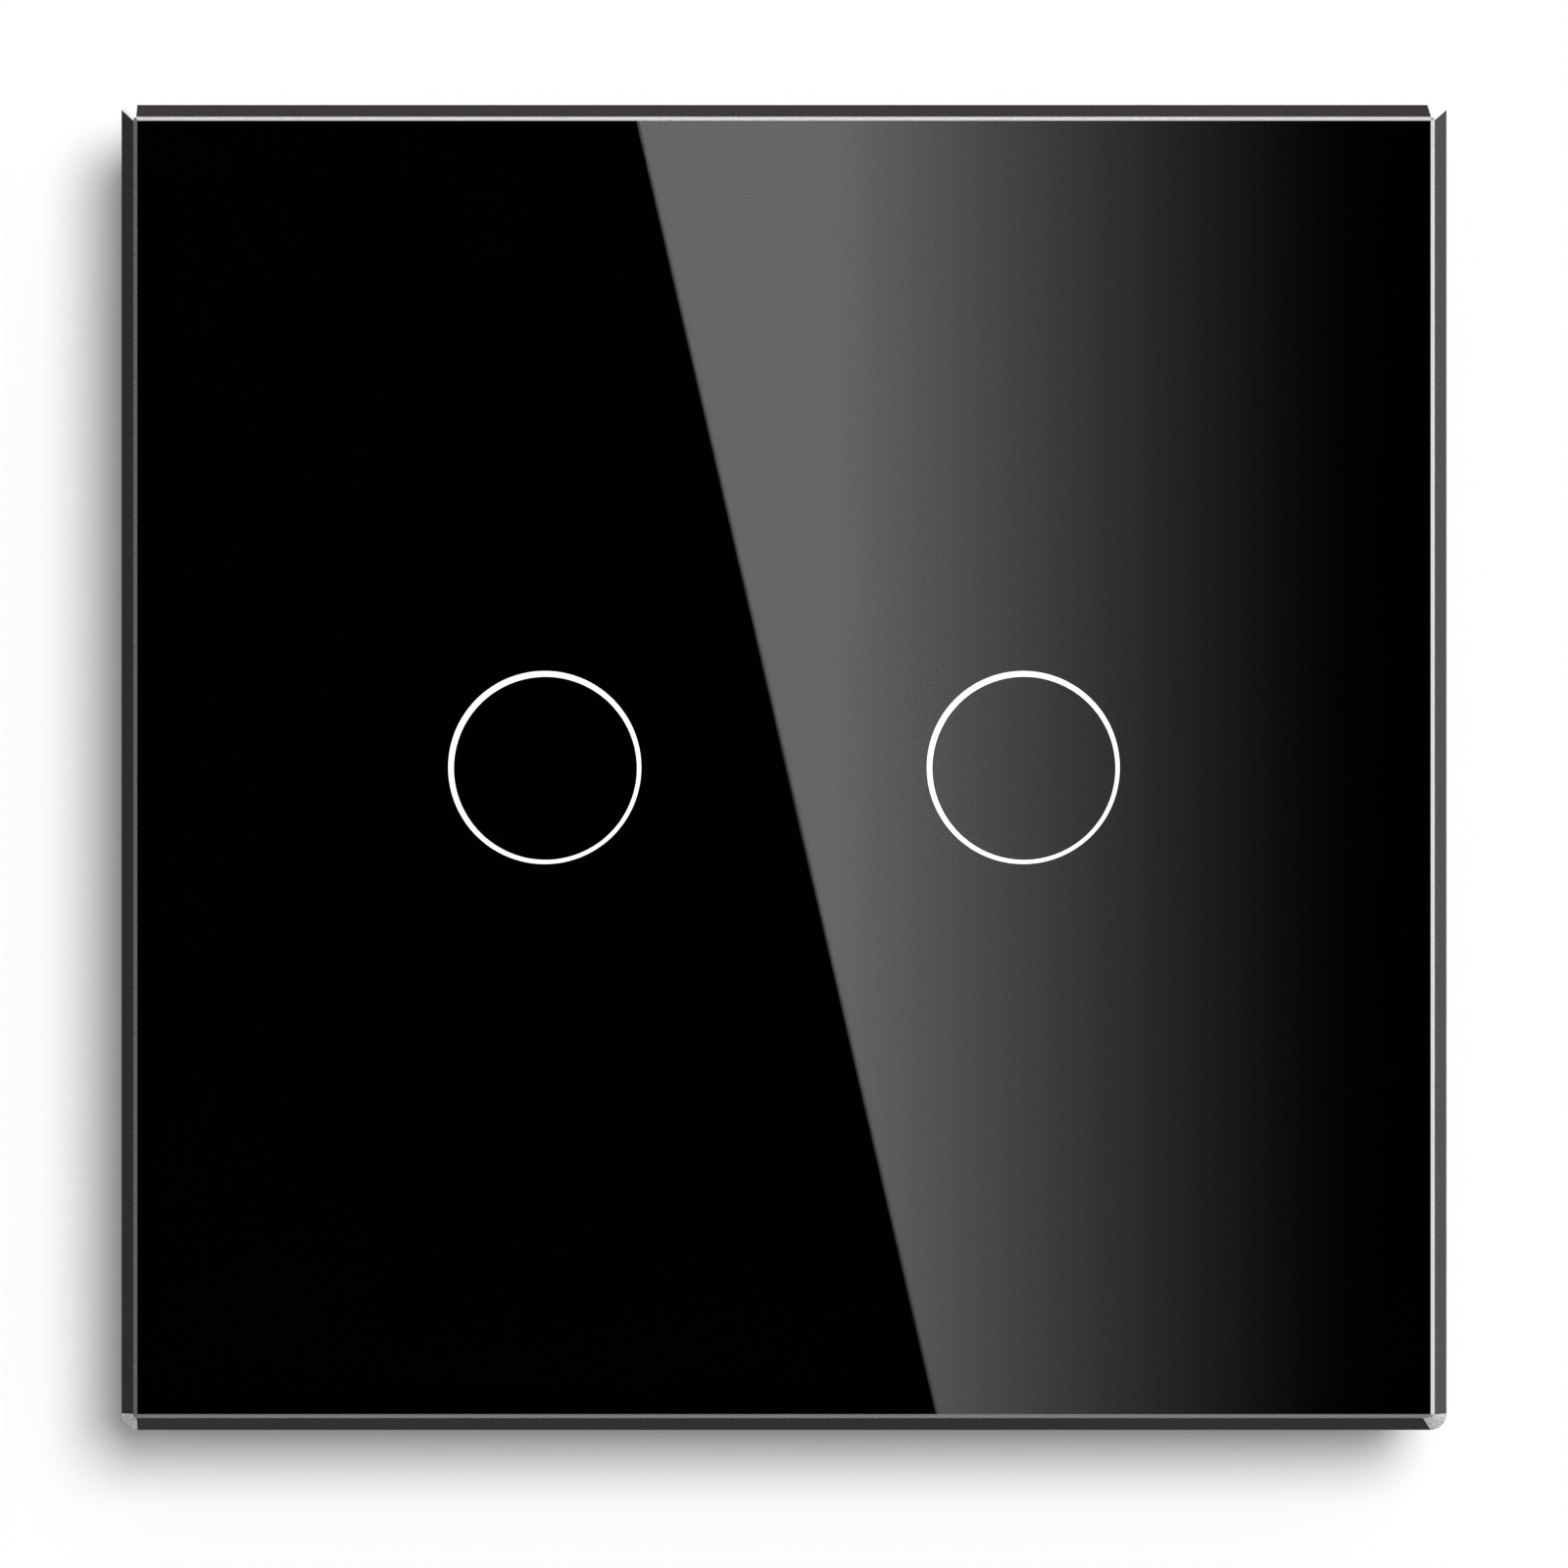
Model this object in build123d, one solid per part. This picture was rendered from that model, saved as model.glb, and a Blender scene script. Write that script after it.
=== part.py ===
from build123d import *
import math
import os

# A two-way touch light switch with a glass front, for a round wall box, in millimetres.
# X runs to the right and Z up, as seen by someone who stands before the switch, and Y runs into the
# wall. The wall's face is the plane Y = 0, and the origin is the middle of the bracket's face that
# bears on it, so what stands out of the wall has a negative Y.

# Overall sizes
PANEL_SIZE = 80.0
HOUSING_SIZE = 47.0
DEPTH_IN_WALL = 27.0

# Fits that many pieces share
OVERRUN = 1.0
BEARING_GAP = 0.05
FIT_GAP = 0.2
PIN_GAP = 0.1
SOLDER_TAIL = 1.2

# Glass panel: the ground bevel round the face, its arris and the eased rear edge
GLASS_THICK = 4.0
GLASS_CORNER = 1.1
GLASS_BEVEL = 0.89
GLASS_ARRIS = 0.16
GLASS_REAR_EDGE = 0.3

# Black coat behind the glass and the two rings left clear in it
BACKING_THICK = 0.15
BACKING_MARGIN = 0.8
RING_PITCH = 29.0
RING_OUTER = 11.7
RING_STROKE = 0.39
RING_SHIFT_X = 0.04
RING_SHIFT_Z = -0.06
INK_GAP = 0.02

# Tape and frame behind the glass
TAPE_THICK = 0.5
TAPE_MARGIN = 2.0
FRAME_MARGIN = 0.7
FRAME_CORNER = 1.0
FRAME_WEB = 1.5
FRAME_SKIRT = 0.9
FRAME_OFF_WALL = 0.3
FRAME_ROUND_COVER = 1.3
FOOT_LONG = 6.0
FOOT_THICK = 1.2
FOOT_INSET = 4.5
GUSSET_REACH = 2.2
GUSSET_THICK = 0.9
GUSSET_PITCH = 14.0
GUSSETS_PER_SIDE = 5
NOTCH_WIDE = 8.0
NOTCH_TALL = 1.5

# Snap hooks of the frame and the ribs of the cover that they catch
HOOK_SPREAD = 24.0
HOOK_WIDE = 6.0
HOOK_THICK = 1.2
HOOK_OFF_BRACKET = 0.3
HOOK_FLAT = 0.4
CATCH_RISE = 0.3
CATCH_TALL = 1.0
CATCH_SETBACK = 1.3
CATCH_EXTRA = 0.5
HOOK_CLEAR = 0.1

# Pressed steel bracket
BRACKET_THICK = 1.0
BRACKET_INSET = 4.5
BRACKET_CORNER = 4.0
DISH_DEPTH = 1.5
DISH_ROUND_HOUSING = 0.5
BEND_EDGE = 0.4
WALL_SCREW_PITCH = 60.0
SLOT_WIDE = 3.6
SLOT_LONG = 8.0
WINDOW_WIDE = 29.0
WINDOW_TALL = 40.0
WINDOW_CORNER = 3.0

# Cover of the touch module
COVER_ROUND_DISH = 1.0
COVER_CORNER = 3.0
COVER_WALL = 1.2
COVER_FRONT_WALL = 1.0
COVER_EDGE = 0.4
COVER_SPACE = 2.3
COVER_RIB_TALL = 0.6
COVER_RIB_THICK = 0.8
COVER_RIB_PITCH = 5.8
PANEL_OFF_COVER = 0.35

# Screws that hold cover, bracket and housing together, with their bosses
CORNER_SCREW_PITCH = 35.2
CORNER_SCREW = 2.2
CORNER_SCREW_HEAD = 4.2
CORNER_SCREW_HEAD_TALL = 1.6
CORNER_SCREW_LONG = 7.8
COVER_BOSS = 4.6
COVER_BOSS_FLOOR = 1.0
COVER_BOSS_GAP = 0.4
HOUSING_BOSS = 6.4
HOUSING_BOSS_FLOOR = 3.0
HOUSING_WELL = 4.8

# Light guides
GUIDE_MARGIN = 0.35
GUIDE_WALL = 1.2
GUIDE_FLANGE = 0.8
GUIDE_FLANGE_THICK = 0.8
GUIDE_NOTCH = 1.6

# Touch board and what stands on it
TOUCH_BOARD_THICK = 1.0
TOUCH_BOARD_CORNER = 2.0
TOUCH_BOARD_OFF_BRACKET = 0.2
TOUCH_BOARD_ROUND = 0.8
BOARD_SCREW_PITCH_X = 39.0
BOARD_SCREW_PITCH_Z = 16.0
BOARD_SCREW = 1.6
BOARD_SCREW_HEAD = 3.2
BOARD_SCREW_HEAD_TALL = 0.8
BOARD_SCREW_LONG = 2.7
COVER_POST = 3.8
PILOT_DEEP = 2.0
SPRING_OUTER = 8.0
SPRING_WIRE = 0.4
SPRING_TURNS = 3
WIRE_SIDES = 4
LED_LONG = 3.5
LED_WIDE = 2.8
LED_TALL = 1.9
LED_LENS = 2.4
LED_LENS_DEEP = 0.3

# Small moulded packages with bent leads: the touch chip and the bridge rectifier
CHIP_LONG = 9.9
CHIP_WIDE = 3.9
CHIP_TALL = 1.4
CHIP_SPAN = 6.0
CHIP_PITCH = 1.27
CHIP_LEADS = 8
CHIP_DROP = 15.0
BRIDGE_LONG = 4.7
BRIDGE_WIDE = 3.9
BRIDGE_TALL = 2.5
BRIDGE_SPAN = 6.6
BRIDGE_PITCH = 2.54
BRIDGE_LEADS = 2
LEAD_WIDE = 0.42
LEAD_THICK = 0.2
LEAD_STANDOFF = 0.1
PACKAGE_EDGE = 0.2

# Socket and header that join the two boards
CONTACTS = 6
CONTACT_PITCH = 2.54
CONTACT_PIN = 0.64
CONTACT_HOLE = 0.9
SOCKET_THICK = 2.5
SOCKET_TALL = 8.5
HEADER_TALL = 2.5
HEADER_REACH = 4.5
SOCKET_DEEP = 5.0
SOCKET_ABOVE_BLOCK = 2.2

# Rear housing
HOUSING_CORNER = 11.0
HOUSING_WALL = 1.5
HOUSING_EDGE = 0.6
BOARD_POST = 4.4
BOARD_POST_PITCH = 40.0
BOARD_POST_RISE = 2.0
POST_SCREW = 1.9
POST_SCREW_HEAD = 3.6
POST_SCREW_HEAD_TALL = 1.1
POST_SCREW_GRIP = 5.0
POST_PILOT_DEEP = 6.0
VENT_WIDE = 1.2
VENT_LONG = 9.0
VENT_PITCH = 2.6
VENTS_PER_RELAY = 4
STEP_LIP = 1.1
BLOCK_PROUD = 0.5

# Power board
POWER_BOARD_THICK = 1.6
POWER_BOARD_ROUND = 0.4

# Terminal block with four rising cages
POLES = 4
POLE_PITCH = 6.6
POLE_POCKET = 5.6
BLOCK_END_WALL = 1.1
BLOCK_ENTRY_WALL = 2.0
BLOCK_BACK_WALL = 1.5
BLOCK_OFF_HOUSING = 0.7
POCKET_DEEP = 6.5
CAGE_LIFT = 1.0
CAGE_DEEP = 5.5
CAGE_SETBACK = 0.3
CAGE_FLOOR = 0.8
CAGE_SIDE = 0.8
CAGE_NUT = 1.2
WIRE_SPACE = 3.0
BUSBAR_THICK = 0.8
BUSBAR_WIDE = 3.2
BUSBAR_END_GAP = 0.5
CLAMP_PITCH = 0.5
CLAMP_TURNS = 4.8
CLAMP_SCREW = 2.9
CLAMP_HEAD = 3.8
CLAMP_HEAD_TALL = 1.4
CLAMP_HEAD_GAP = 0.1
CLAMP_LEDGE = 0.6
CLAMP_WELL = 4.2
CLAMP_HOLE_GAP = 0.15
WIRE_HOLE_WIDE = 4.2
WIRE_HOLE_TALL = 3.2
WIRE_FUNNEL = 0.5
WIRE_WINDOW_EXTRA = 0.6

# Power relays
RELAY_WIDE = 10.1
RELAY_LONG = 17.6
RELAY_TALL = 12.3
RELAY_CASE = 0.6
RELAY_APART = 8.2
RELAY_RISE = 2.3
RELAY_BASE = 1.0
RELAY_EDGE = 0.4
YOKE_THICK = 1.0
YOKE_WIDE = 5.6
YOKE_SETBACK = 0.6
COIL_SETBACK = 5.0
BOBBIN_SIZE = 8.4
BOBBIN_TALL = 7.0
BOBBIN_FLANGE = 0.7
BOBBIN_BARREL = 5.4
WINDING_OUTER = 7.8
CORE = 4.0
POLE_FACE = 5.0
POLE_FACE_TALL = 0.3
POLE_GAP = 0.45
ARMATURE_THICK = 0.8
ARMATURE_OVERHANG = 0.3
ARMATURE_PAST_POLE = 0.7
LEAF_THICK = 0.2
LEAF_WIDE = 3.2
LEAF_START = 1.9
LEAF_PAST_CONTACT = 0.5
MOVING_CONTACT = 2.4
MOVING_CONTACT_TALL = 1.0
CONTACT_RIVET = 1.2
CONTACT_RIVET_TALL = 0.3
FIXED_CONTACT = 2.6
FIXED_CONTACT_TALL = 0.6
FIXED_ARM_THICK = 0.5
FIXED_ARM_WIDE = 3.0
CONTACT_GAP = 0.8
CONTACT_SETBACK = 2.0
RELAY_PIN = 0.8
COIL_PIN_SPREAD = 7.2
COIL_PIN_INSET = 0.8

# Capacitors, varistor and fusible resistor
FILM_WIDE = 6.0
FILM_LONG = 13.0
FILM_TALL = 12.0
FILM_EDGE = 0.5
FILM_DROP = 0.5
FILM_LEAD_PITCH = 10.0
LEAD_WIRE = 0.6
CAN = 8.0
CAN_TALL = 11.5
CAN_X = 6.0
CAN_GROOVE_UP = 1.8
CAN_GROOVE_TALL = 0.8
CAN_GROOVE_DEEP = 0.4
CAN_EDGE = 0.3
CAN_CROSS_WIDE = 0.4
CAN_CROSS_DEEP = 0.15
CAN_LEAD_PITCH = 3.5
PART_GAP = 1.4
VARISTOR = 7.0
VARISTOR_THICK = 3.5
VARISTOR_EDGE = 1.2
VARISTOR_X = -6.0
VARISTOR_LIFT = 1.0
VARISTOR_LEAD_PITCH = 5.0
FUSE = 2.5
FUSE_TALL = 7.0
FUSE_X = -12.0
FUSE_LIFT = 0.8
FUSE_LOOP = 1.5
FUSE_WAIST = 2.1
FUSE_CAP_TALL = 1.4

# Faces round a small stud or bore, which has few because it repeats
STUD_SIDES = 12

# Slot of every screw, as shares of the screw's head
SLOT_WIDTH_SHARE = 0.22
SLOT_DEPTH_SHARE = 0.5

# Depths, built up from the wall outwards and then inwards
bracket_front = -BRACKET_THICK
touch_board_back = bracket_front - TOUCH_BOARD_OFF_BRACKET
touch_board_front = touch_board_back - TOUCH_BOARD_THICK
cover_inside = touch_board_front - COVER_SPACE
cover_front = cover_inside - COVER_FRONT_WALL
backing_back = cover_front - PANEL_OFF_COVER
glass_back = backing_back - BACKING_THICK
glass_front = glass_back - GLASS_THICK
frame_front = backing_back + TAPE_THICK
web_back = frame_front + FRAME_WEB
land_back = DISH_DEPTH
land_front = land_back - BRACKET_THICK
power_board_front = touch_board_back + SOCKET_TALL + HEADER_TALL
power_board_back = power_board_front + POWER_BOARD_THICK
tail_end = power_board_front - SOLDER_TAIL
rear_inside = DEPTH_IN_WALL - HOUSING_WALL

# Widths that follow from one another
dish_size = HOUSING_SIZE + 2 * DISH_ROUND_HOUSING
dish_corner = HOUSING_CORNER + DISH_ROUND_HOUSING
cover_size = dish_size + 2 * COVER_ROUND_DISH
frame_opening = cover_size + 2 * FRAME_ROUND_COVER
frame_size = PANEL_SIZE - 2 * FRAME_MARGIN
skirt_inside = frame_size / 2 - FRAME_SKIRT
bracket_size = PANEL_SIZE - 2 * BRACKET_INSET
housing_inside = HOUSING_SIZE / 2 - HOUSING_WALL
ring_places = (-RING_PITCH / 2, RING_PITCH / 2)
corner_half = CORNER_SCREW_PITCH / 2
corner_places = [(x, z) for x in (-corner_half, corner_half) for z in (-corner_half, corner_half)]
board_screw_places = [
    (x, z)
    for x in (-BOARD_SCREW_PITCH_X / 2, BOARD_SCREW_PITCH_X / 2)
    for z in (-BOARD_SCREW_PITCH_Z / 2, BOARD_SCREW_PITCH_Z / 2)
]
post_places = [(x, BOARD_POST_RISE) for x in (-BOARD_POST_PITCH / 2, BOARD_POST_PITCH / 2)]

# Terminal block: where its poles, pockets and cages lie
block_bottom = BLOCK_OFF_HOUSING - housing_inside
pocket_bottom = block_bottom + BLOCK_ENTRY_WALL
pocket_top = pocket_bottom + POCKET_DEEP
block_top = pocket_top + BLOCK_BACK_WALL
block_half = ((POLES - 1) * POLE_PITCH + POLE_POCKET) / 2 + BLOCK_END_WALL
pole_places = [(i - (POLES - 1) / 2) * POLE_PITCH for i in range(POLES)]
cage_floor_back = power_board_back + CAGE_LIFT + CAGE_FLOOR
busbar_front = cage_floor_back + WIRE_SPACE
busbar_back = busbar_front + BUSBAR_THICK
nut_front = busbar_back + FIT_GAP
nut_back = nut_front + CAGE_NUT
cage_travel = CLAMP_PITCH * CLAMP_TURNS
ledge_front = nut_back + cage_travel + FIT_GAP
ledge_back = ledge_front + CLAMP_LEDGE
clamp_head_front = ledge_back + CLAMP_HEAD_GAP
clamp_head_back = clamp_head_front + CLAMP_HEAD_TALL
block_back = clamp_head_back + CLAMP_HEAD_GAP
terminal_face = block_back - BLOCK_PROUD
step_z = block_top + FIT_GAP + STEP_LIP
wire_middle = (cage_floor_back + busbar_front) / 2
cage_bottom = pocket_bottom + CAGE_SETBACK
cage_half = POLE_POCKET / 2 - FIT_GAP
leg_bottom = pocket_top + FIT_GAP
leg_top = leg_bottom + BUSBAR_THICK
leg_middle = (leg_bottom + leg_top) / 2

# Where the parts on the power board stand, so that none touches the next
socket_z = block_top + SOCKET_ABOVE_BLOCK
relay_places = (-(RELAY_APART + RELAY_WIDE) / 2, (RELAY_APART + RELAY_WIDE) / 2)
relay_top_z = RELAY_RISE + RELAY_LONG / 2
can_z = relay_top_z + PART_GAP + CAN / 2
varistor_z = can_z
fuse_z = relay_top_z + PART_GAP + FUSE
film_top_z = FILM_LONG / 2 - FILM_DROP
bridge_z = (film_top_z + can_z - CAN / 2) / 2

# Inside a relay: heights above the board and places along its length, from its own middle
relay_base_back = power_board_back + RELAY_BASE
yoke_floor_back = relay_base_back + YOKE_THICK
bobbin_back = yoke_floor_back + BOBBIN_TALL
pole_face = bobbin_back + BEARING_GAP + POLE_FACE_TALL
armature_front = pole_face + POLE_GAP
armature_back = armature_front + ARMATURE_THICK
leaf_back = armature_back + LEAF_THICK
moving_contact_front = armature_back - MOVING_CONTACT_TALL
fixed_contact_back = moving_contact_front - CONTACT_GAP
relay_end = RELAY_LONG / 2 - RELAY_CASE
yoke_outside = YOKE_SETBACK - relay_end
yoke_inside = yoke_outside + YOKE_THICK
coil_middle = yoke_inside + COIL_SETBACK
contact_middle = relay_end - CONTACT_SETBACK
fixed_arm_end = contact_middle + FIXED_CONTACT / 2
relay_pins = {
    "yoke": [(0, (yoke_outside + yoke_inside) / 2)],
    "fixed": [(0, fixed_arm_end - FIXED_ARM_THICK / 2)],
    "coil": [
        (side * COIL_PIN_SPREAD / 2, coil_middle + BOBBIN_SIZE / 2 - COIL_PIN_INSET)
        for side in (-1, 1)
    ],
}


def slab(outline, front, back):
    """Gives an outline, drawn as seen from the front, the depth from front to back."""
    return extrude(Plane.XZ.offset(-front) * outline, front - back)


def rod(place, diameter, front, back):
    """A round bar along Y at a place (x, z)."""
    return slab(Pos(*place) * Circle(diameter / 2), front, back)


def stud(place, diameter, front, back):
    """A small round bar along Y, drawn with few faces that all lie inside its diameter."""
    return slab(Pos(*place) * RegularPolygon(diameter / 2, STUD_SIDES), front, back)


def bore(place, diameter, front, back):
    """A small round hole along Y, drawn with few faces that all lie outside its diameter."""
    outline = RegularPolygon(diameter / 2, STUD_SIDES, major_radius=False)
    return slab(Pos(*place) * outline, front, back)


def brick(x_span, y_span, z_span):
    """A box between three pairs of limits."""
    spans = (x_span, y_span, z_span)
    lows = [min(span) for span in spans]
    sizes = [max(span) - min(span) for span in spans]
    return Pos(*lows) * Box(*sizes, align=Align.MIN)


def pin(place, width, front, back):
    """A square pin, lead or drilled hole along Y at a place (x, z)."""
    return slab(Pos(*place) * Rectangle(width, width), front, back)


def screw(place, seat, way, head, head_tall, shank, length, bar=stud):
    """A slotted screw seated at a depth. Its shank points into the wall for way 1, out for -1."""
    head_end = seat - way * head_tall
    body = rod(place, head, min(seat, head_end), max(seat, head_end))
    tip = seat + way * length
    body += bar(place, shank, min(seat, tip), max(seat, tip))
    slot_floor = head_end + way * head_tall * SLOT_DEPTH_SHARE
    slot_mouth = head_end - way * OVERRUN
    slot = Pos(*place) * Rectangle(head + OVERRUN, head * SLOT_WIDTH_SHARE)
    return body - slab(slot, min(slot_floor, slot_mouth), max(slot_floor, slot_mouth))


def glass_panel():
    """The sheet of glass: bevelled and arrissed round its face, eased round its back."""
    sheet = slab(RectangleRounded(PANEL_SIZE, PANEL_SIZE, GLASS_CORNER), glass_front, glass_back)
    for cut in (GLASS_BEVEL, GLASS_ARRIS):
        sheet = chamfer(sheet.faces().sort_by(Axis.Y)[0].edges(), cut)
    return chamfer(sheet.faces().sort_by(Axis.Y)[-1].edges(), GLASS_REAR_EDGE)


def ring_outline(x, gap):
    """A ring's stroke, whose hole lies a little off centre and makes one side thinner."""
    outer = Circle(RING_OUTER / 2 - gap)
    inner = Pos(RING_SHIFT_X, RING_SHIFT_Z) * Circle(RING_OUTER / 2 - RING_STROKE + gap)
    return Pos(x, 0) * (outer - inner)


def black_backing():
    """The black coat on the back of the glass, and the disc left inside each ring."""
    size = PANEL_SIZE - 2 * BACKING_MARGIN
    coat = Rectangle(size, size)
    for x in ring_places:
        coat -= ring_outline(x, 0)
    return slab(coat, glass_back, backing_back)


def touch_ring(x):
    """The translucent white ink of one ring."""
    return slab(ring_outline(x, INK_GAP), glass_back, backing_back)


def adhesive_frame():
    """Double-sided tape that holds the glass on its frame."""
    outer = frame_size - 2 * TAPE_MARGIN
    inner = frame_opening + 2 * TAPE_MARGIN
    return slab(Rectangle(outer, outer) - Rectangle(inner, inner), backing_back, frame_front)


def snap_hook(side, z):
    """One springy finger of the frame, flexed just clear of the rib that it catches behind."""
    root = side * frame_opening / 2
    outside = root + side * HOOK_THICK
    barb = side * (cover_size / 2 + CATCH_RISE + HOOK_CLEAR)
    shelf = cover_front + CATCH_SETBACK + CATCH_TALL + HOOK_CLEAR
    tip = bracket_front - HOOK_OFF_BRACKET
    profile = Polygon(
        (root, web_back), (root, shelf), (barb, shelf), (barb, shelf + HOOK_FLAT), (root, tip),
        (outside, tip), (outside, web_back), align=None,
    )
    return Pos(0, 0, z) * extrude(profile, HOOK_WIDE / 2, both=True)


def frame_gusset(along):
    """A small web between the frame's face and its right-hand skirt."""
    profile = Polygon(
        (skirt_inside, web_back), (skirt_inside - GUSSET_REACH, web_back),
        (skirt_inside, bracket_front), align=None,
    )
    return Pos(0, 0, along) * extrude(profile, GUSSET_THICK / 2, both=True)


def panel_frame():
    """The moulded frame behind the glass: face, skirt, feet, gussets and four snap hooks."""
    skirt_end = -FRAME_OFF_WALL
    frame = slab(RectangleRounded(frame_size, frame_size, FRAME_CORNER), frame_front, skirt_end)
    frame -= slab(Rectangle(2 * skirt_inside, 2 * skirt_inside), web_back, skirt_end + OVERRUN)
    frame -= slab(Rectangle(frame_opening, frame_opening), frame_front - OVERRUN, web_back + OVERRUN)
    foot = Rectangle(FOOT_LONG, FOOT_THICK) + Rectangle(FOOT_THICK, FOOT_LONG)
    foot_place = bracket_size / 2 - FOOT_INSET
    for x in (-foot_place, foot_place):
        for z in (-foot_place, foot_place):
            frame += slab(Pos(x, z) * foot, web_back, bracket_front - BEARING_GAP)
    for side in (-1, 1):
        for z in (-HOOK_SPREAD / 2, HOOK_SPREAD / 2):
            frame += snap_hook(side, z)
    for quarter in range(4):
        for i in range(GUSSETS_PER_SIDE):
            along = (i - (GUSSETS_PER_SIDE - 1) / 2) * GUSSET_PITCH
            frame += Rot(0, 90 * quarter, 0) * frame_gusset(along)
    notch = (-NOTCH_WIDE / 2, NOTCH_WIDE / 2)
    notch_y = (skirt_end - NOTCH_TALL, skirt_end + OVERRUN)
    return frame - brick(notch, notch_y, (-frame_size / 2 - OVERRUN, -skirt_inside + OVERRUN))


def mounting_bracket():
    """The pressed steel plate: a flat rim on the wall, a dish behind it and slots for the wall screws."""
    rim = slab(RectangleRounded(bracket_size, bracket_size, BRACKET_CORNER), bracket_front, 0)
    dish = slab(RectangleRounded(dish_size, dish_size, dish_corner), bracket_front, land_back)
    dish = chamfer(dish.faces().sort_by(Axis.Y)[-1].edges(), BEND_EDGE)
    hollow_size = dish_size - 2 * BRACKET_THICK
    hollow_outline = RectangleRounded(hollow_size, hollow_size, dish_corner - BRACKET_THICK)
    hollow = slab(hollow_outline, bracket_front - OVERRUN, land_front)
    window = RectangleRounded(WINDOW_WIDE, WINDOW_TALL, WINDOW_CORNER)
    bracket = rim + dish - hollow
    bracket -= slab(window, land_front - OVERRUN, land_back + OVERRUN)
    for place in corner_places:
        bracket -= rod(place, CORNER_SCREW + 2 * FIT_GAP, land_front - OVERRUN, land_back + OVERRUN)
    for quarter in range(4):
        slot = Pos(WALL_SCREW_PITCH / 2, 0) * SlotOverall(SLOT_LONG, SLOT_WIDE)
        bracket -= slab(Rot(0, 0, 90 * quarter) * slot, bracket_front - OVERRUN, OVERRUN)
    return bracket


def module_cover():
    """The moulded cover over the touch board, with bosses, posts, ribs and holes for the guides."""
    outline = RectangleRounded(cover_size, cover_size, COVER_CORNER)
    inner_size = cover_size - 2 * COVER_WALL
    inner = RectangleRounded(inner_size, inner_size, COVER_CORNER - COVER_WALL)
    cover = slab(outline, cover_front, bracket_front)
    cover = chamfer(cover.faces().sort_by(Axis.Y)[0].edges(), COVER_EDGE)
    cover -= slab(inner, cover_inside, bracket_front + OVERRUN)
    rib_y = (cover_inside, cover_inside + COVER_RIB_TALL)
    for i in (-1, 0, 1):
        rib = (i * COVER_RIB_PITCH - COVER_RIB_THICK / 2, i * COVER_RIB_PITCH + COVER_RIB_THICK / 2)
        cover += brick(rib, rib_y, (-inner_size / 2, inner_size / 2))
    pilot_front = cover_inside + COVER_BOSS_FLOOR
    for place in corner_places:
        cover += stud(place, COVER_BOSS, cover_inside, land_front)
        cover -= bore(place, CORNER_SCREW + PIN_GAP, pilot_front, land_front + OVERRUN)
    pilot = (touch_board_front - PILOT_DEEP, touch_board_front + OVERRUN)
    for place in board_screw_places:
        cover += stud(place, COVER_POST, cover_inside, touch_board_front)
        cover -= bore(place, BOARD_SCREW + PIN_GAP, *pilot)
    catch = cover_front + CATCH_SETBACK
    half = cover_size / 2
    reach = HOOK_WIDE / 2 + CATCH_EXTRA
    for side in (-1, 1):
        for z in (-HOOK_SPREAD / 2, HOOK_SPREAD / 2):
            across = (side * (half - COVER_WALL / 2), side * (half + CATCH_RISE))
            cover += brick(across, (catch, catch + CATCH_TALL), (z - reach, z + reach))
    for x in ring_places:
        hole = RING_OUTER + 2 * (GUIDE_MARGIN + FIT_GAP)
        cover -= rod((x, 0), hole, cover_front - OVERRUN, cover_inside + OVERRUN)
    return cover


def light_guide(x):
    """A clear sleeve that carries the lamp's light to the ring, with a flange behind the cover."""
    outer = RING_OUTER + 2 * GUIDE_MARGIN
    flange = outer + 2 * GUIDE_FLANGE
    flange_front = cover_inside + BEARING_GAP
    front, back = backing_back + BEARING_GAP, touch_board_front - BEARING_GAP
    guide = rod((x, 0), outer, front, back)
    guide += rod((x, 0), flange, flange_front, flange_front + GUIDE_FLANGE_THICK)
    guide -= rod((x, 0), outer - 2 * GUIDE_WALL, front - OVERRUN, back + OVERRUN)
    for side in (-1, 1):
        edge = flange / 2
        across = (x - GUIDE_NOTCH / 2, x + GUIDE_NOTCH / 2)
        notch_z = (side * (edge - GUIDE_FLANGE / 2), side * (edge + OVERRUN))
        guide -= brick(across, (flange_front - OVERRUN, back + OVERRUN), notch_z)
    return guide


def touch_board():
    """The front circuit board, which carries the springs, lamps and touch chip."""
    size = cover_size - 2 * COVER_WALL - 2 * TOUCH_BOARD_ROUND
    board = slab(RectangleRounded(size, size, TOUCH_BOARD_CORNER), touch_board_front, touch_board_back)
    reach = (touch_board_front - OVERRUN, touch_board_back + OVERRUN)
    for place in corner_places:
        board -= bore(place, COVER_BOSS + 2 * COVER_BOSS_GAP, *reach)
    for place in board_screw_places:
        board -= bore(place, BOARD_SCREW + 2 * FIT_GAP, *reach)
    for x in contact_places():
        board -= pin((x, socket_z), CONTACT_PIN + 2 * PIN_GAP, *reach)
    return board


def biarc(start, start_way, end, end_way):
    """Two arcs that leave start and reach end in the given directions, tangent where they meet."""
    chord = end - start
    both_ways = start_way + end_way
    bend = 2 * (1 - start_way.dot(end_way))
    along = chord.dot(both_ways)
    arm = (math.sqrt(along * along + bend * chord.dot(chord)) - along) / bend
    meet = (start + start_way * arm + end - end_way * arm) / 2
    meet_way = (end - end_way * arm - start - start_way * arm).normalized()
    return [Edge.make_tangent_arc(start, start_way, meet), Edge.make_tangent_arc(meet, meet_way, end)]


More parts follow.
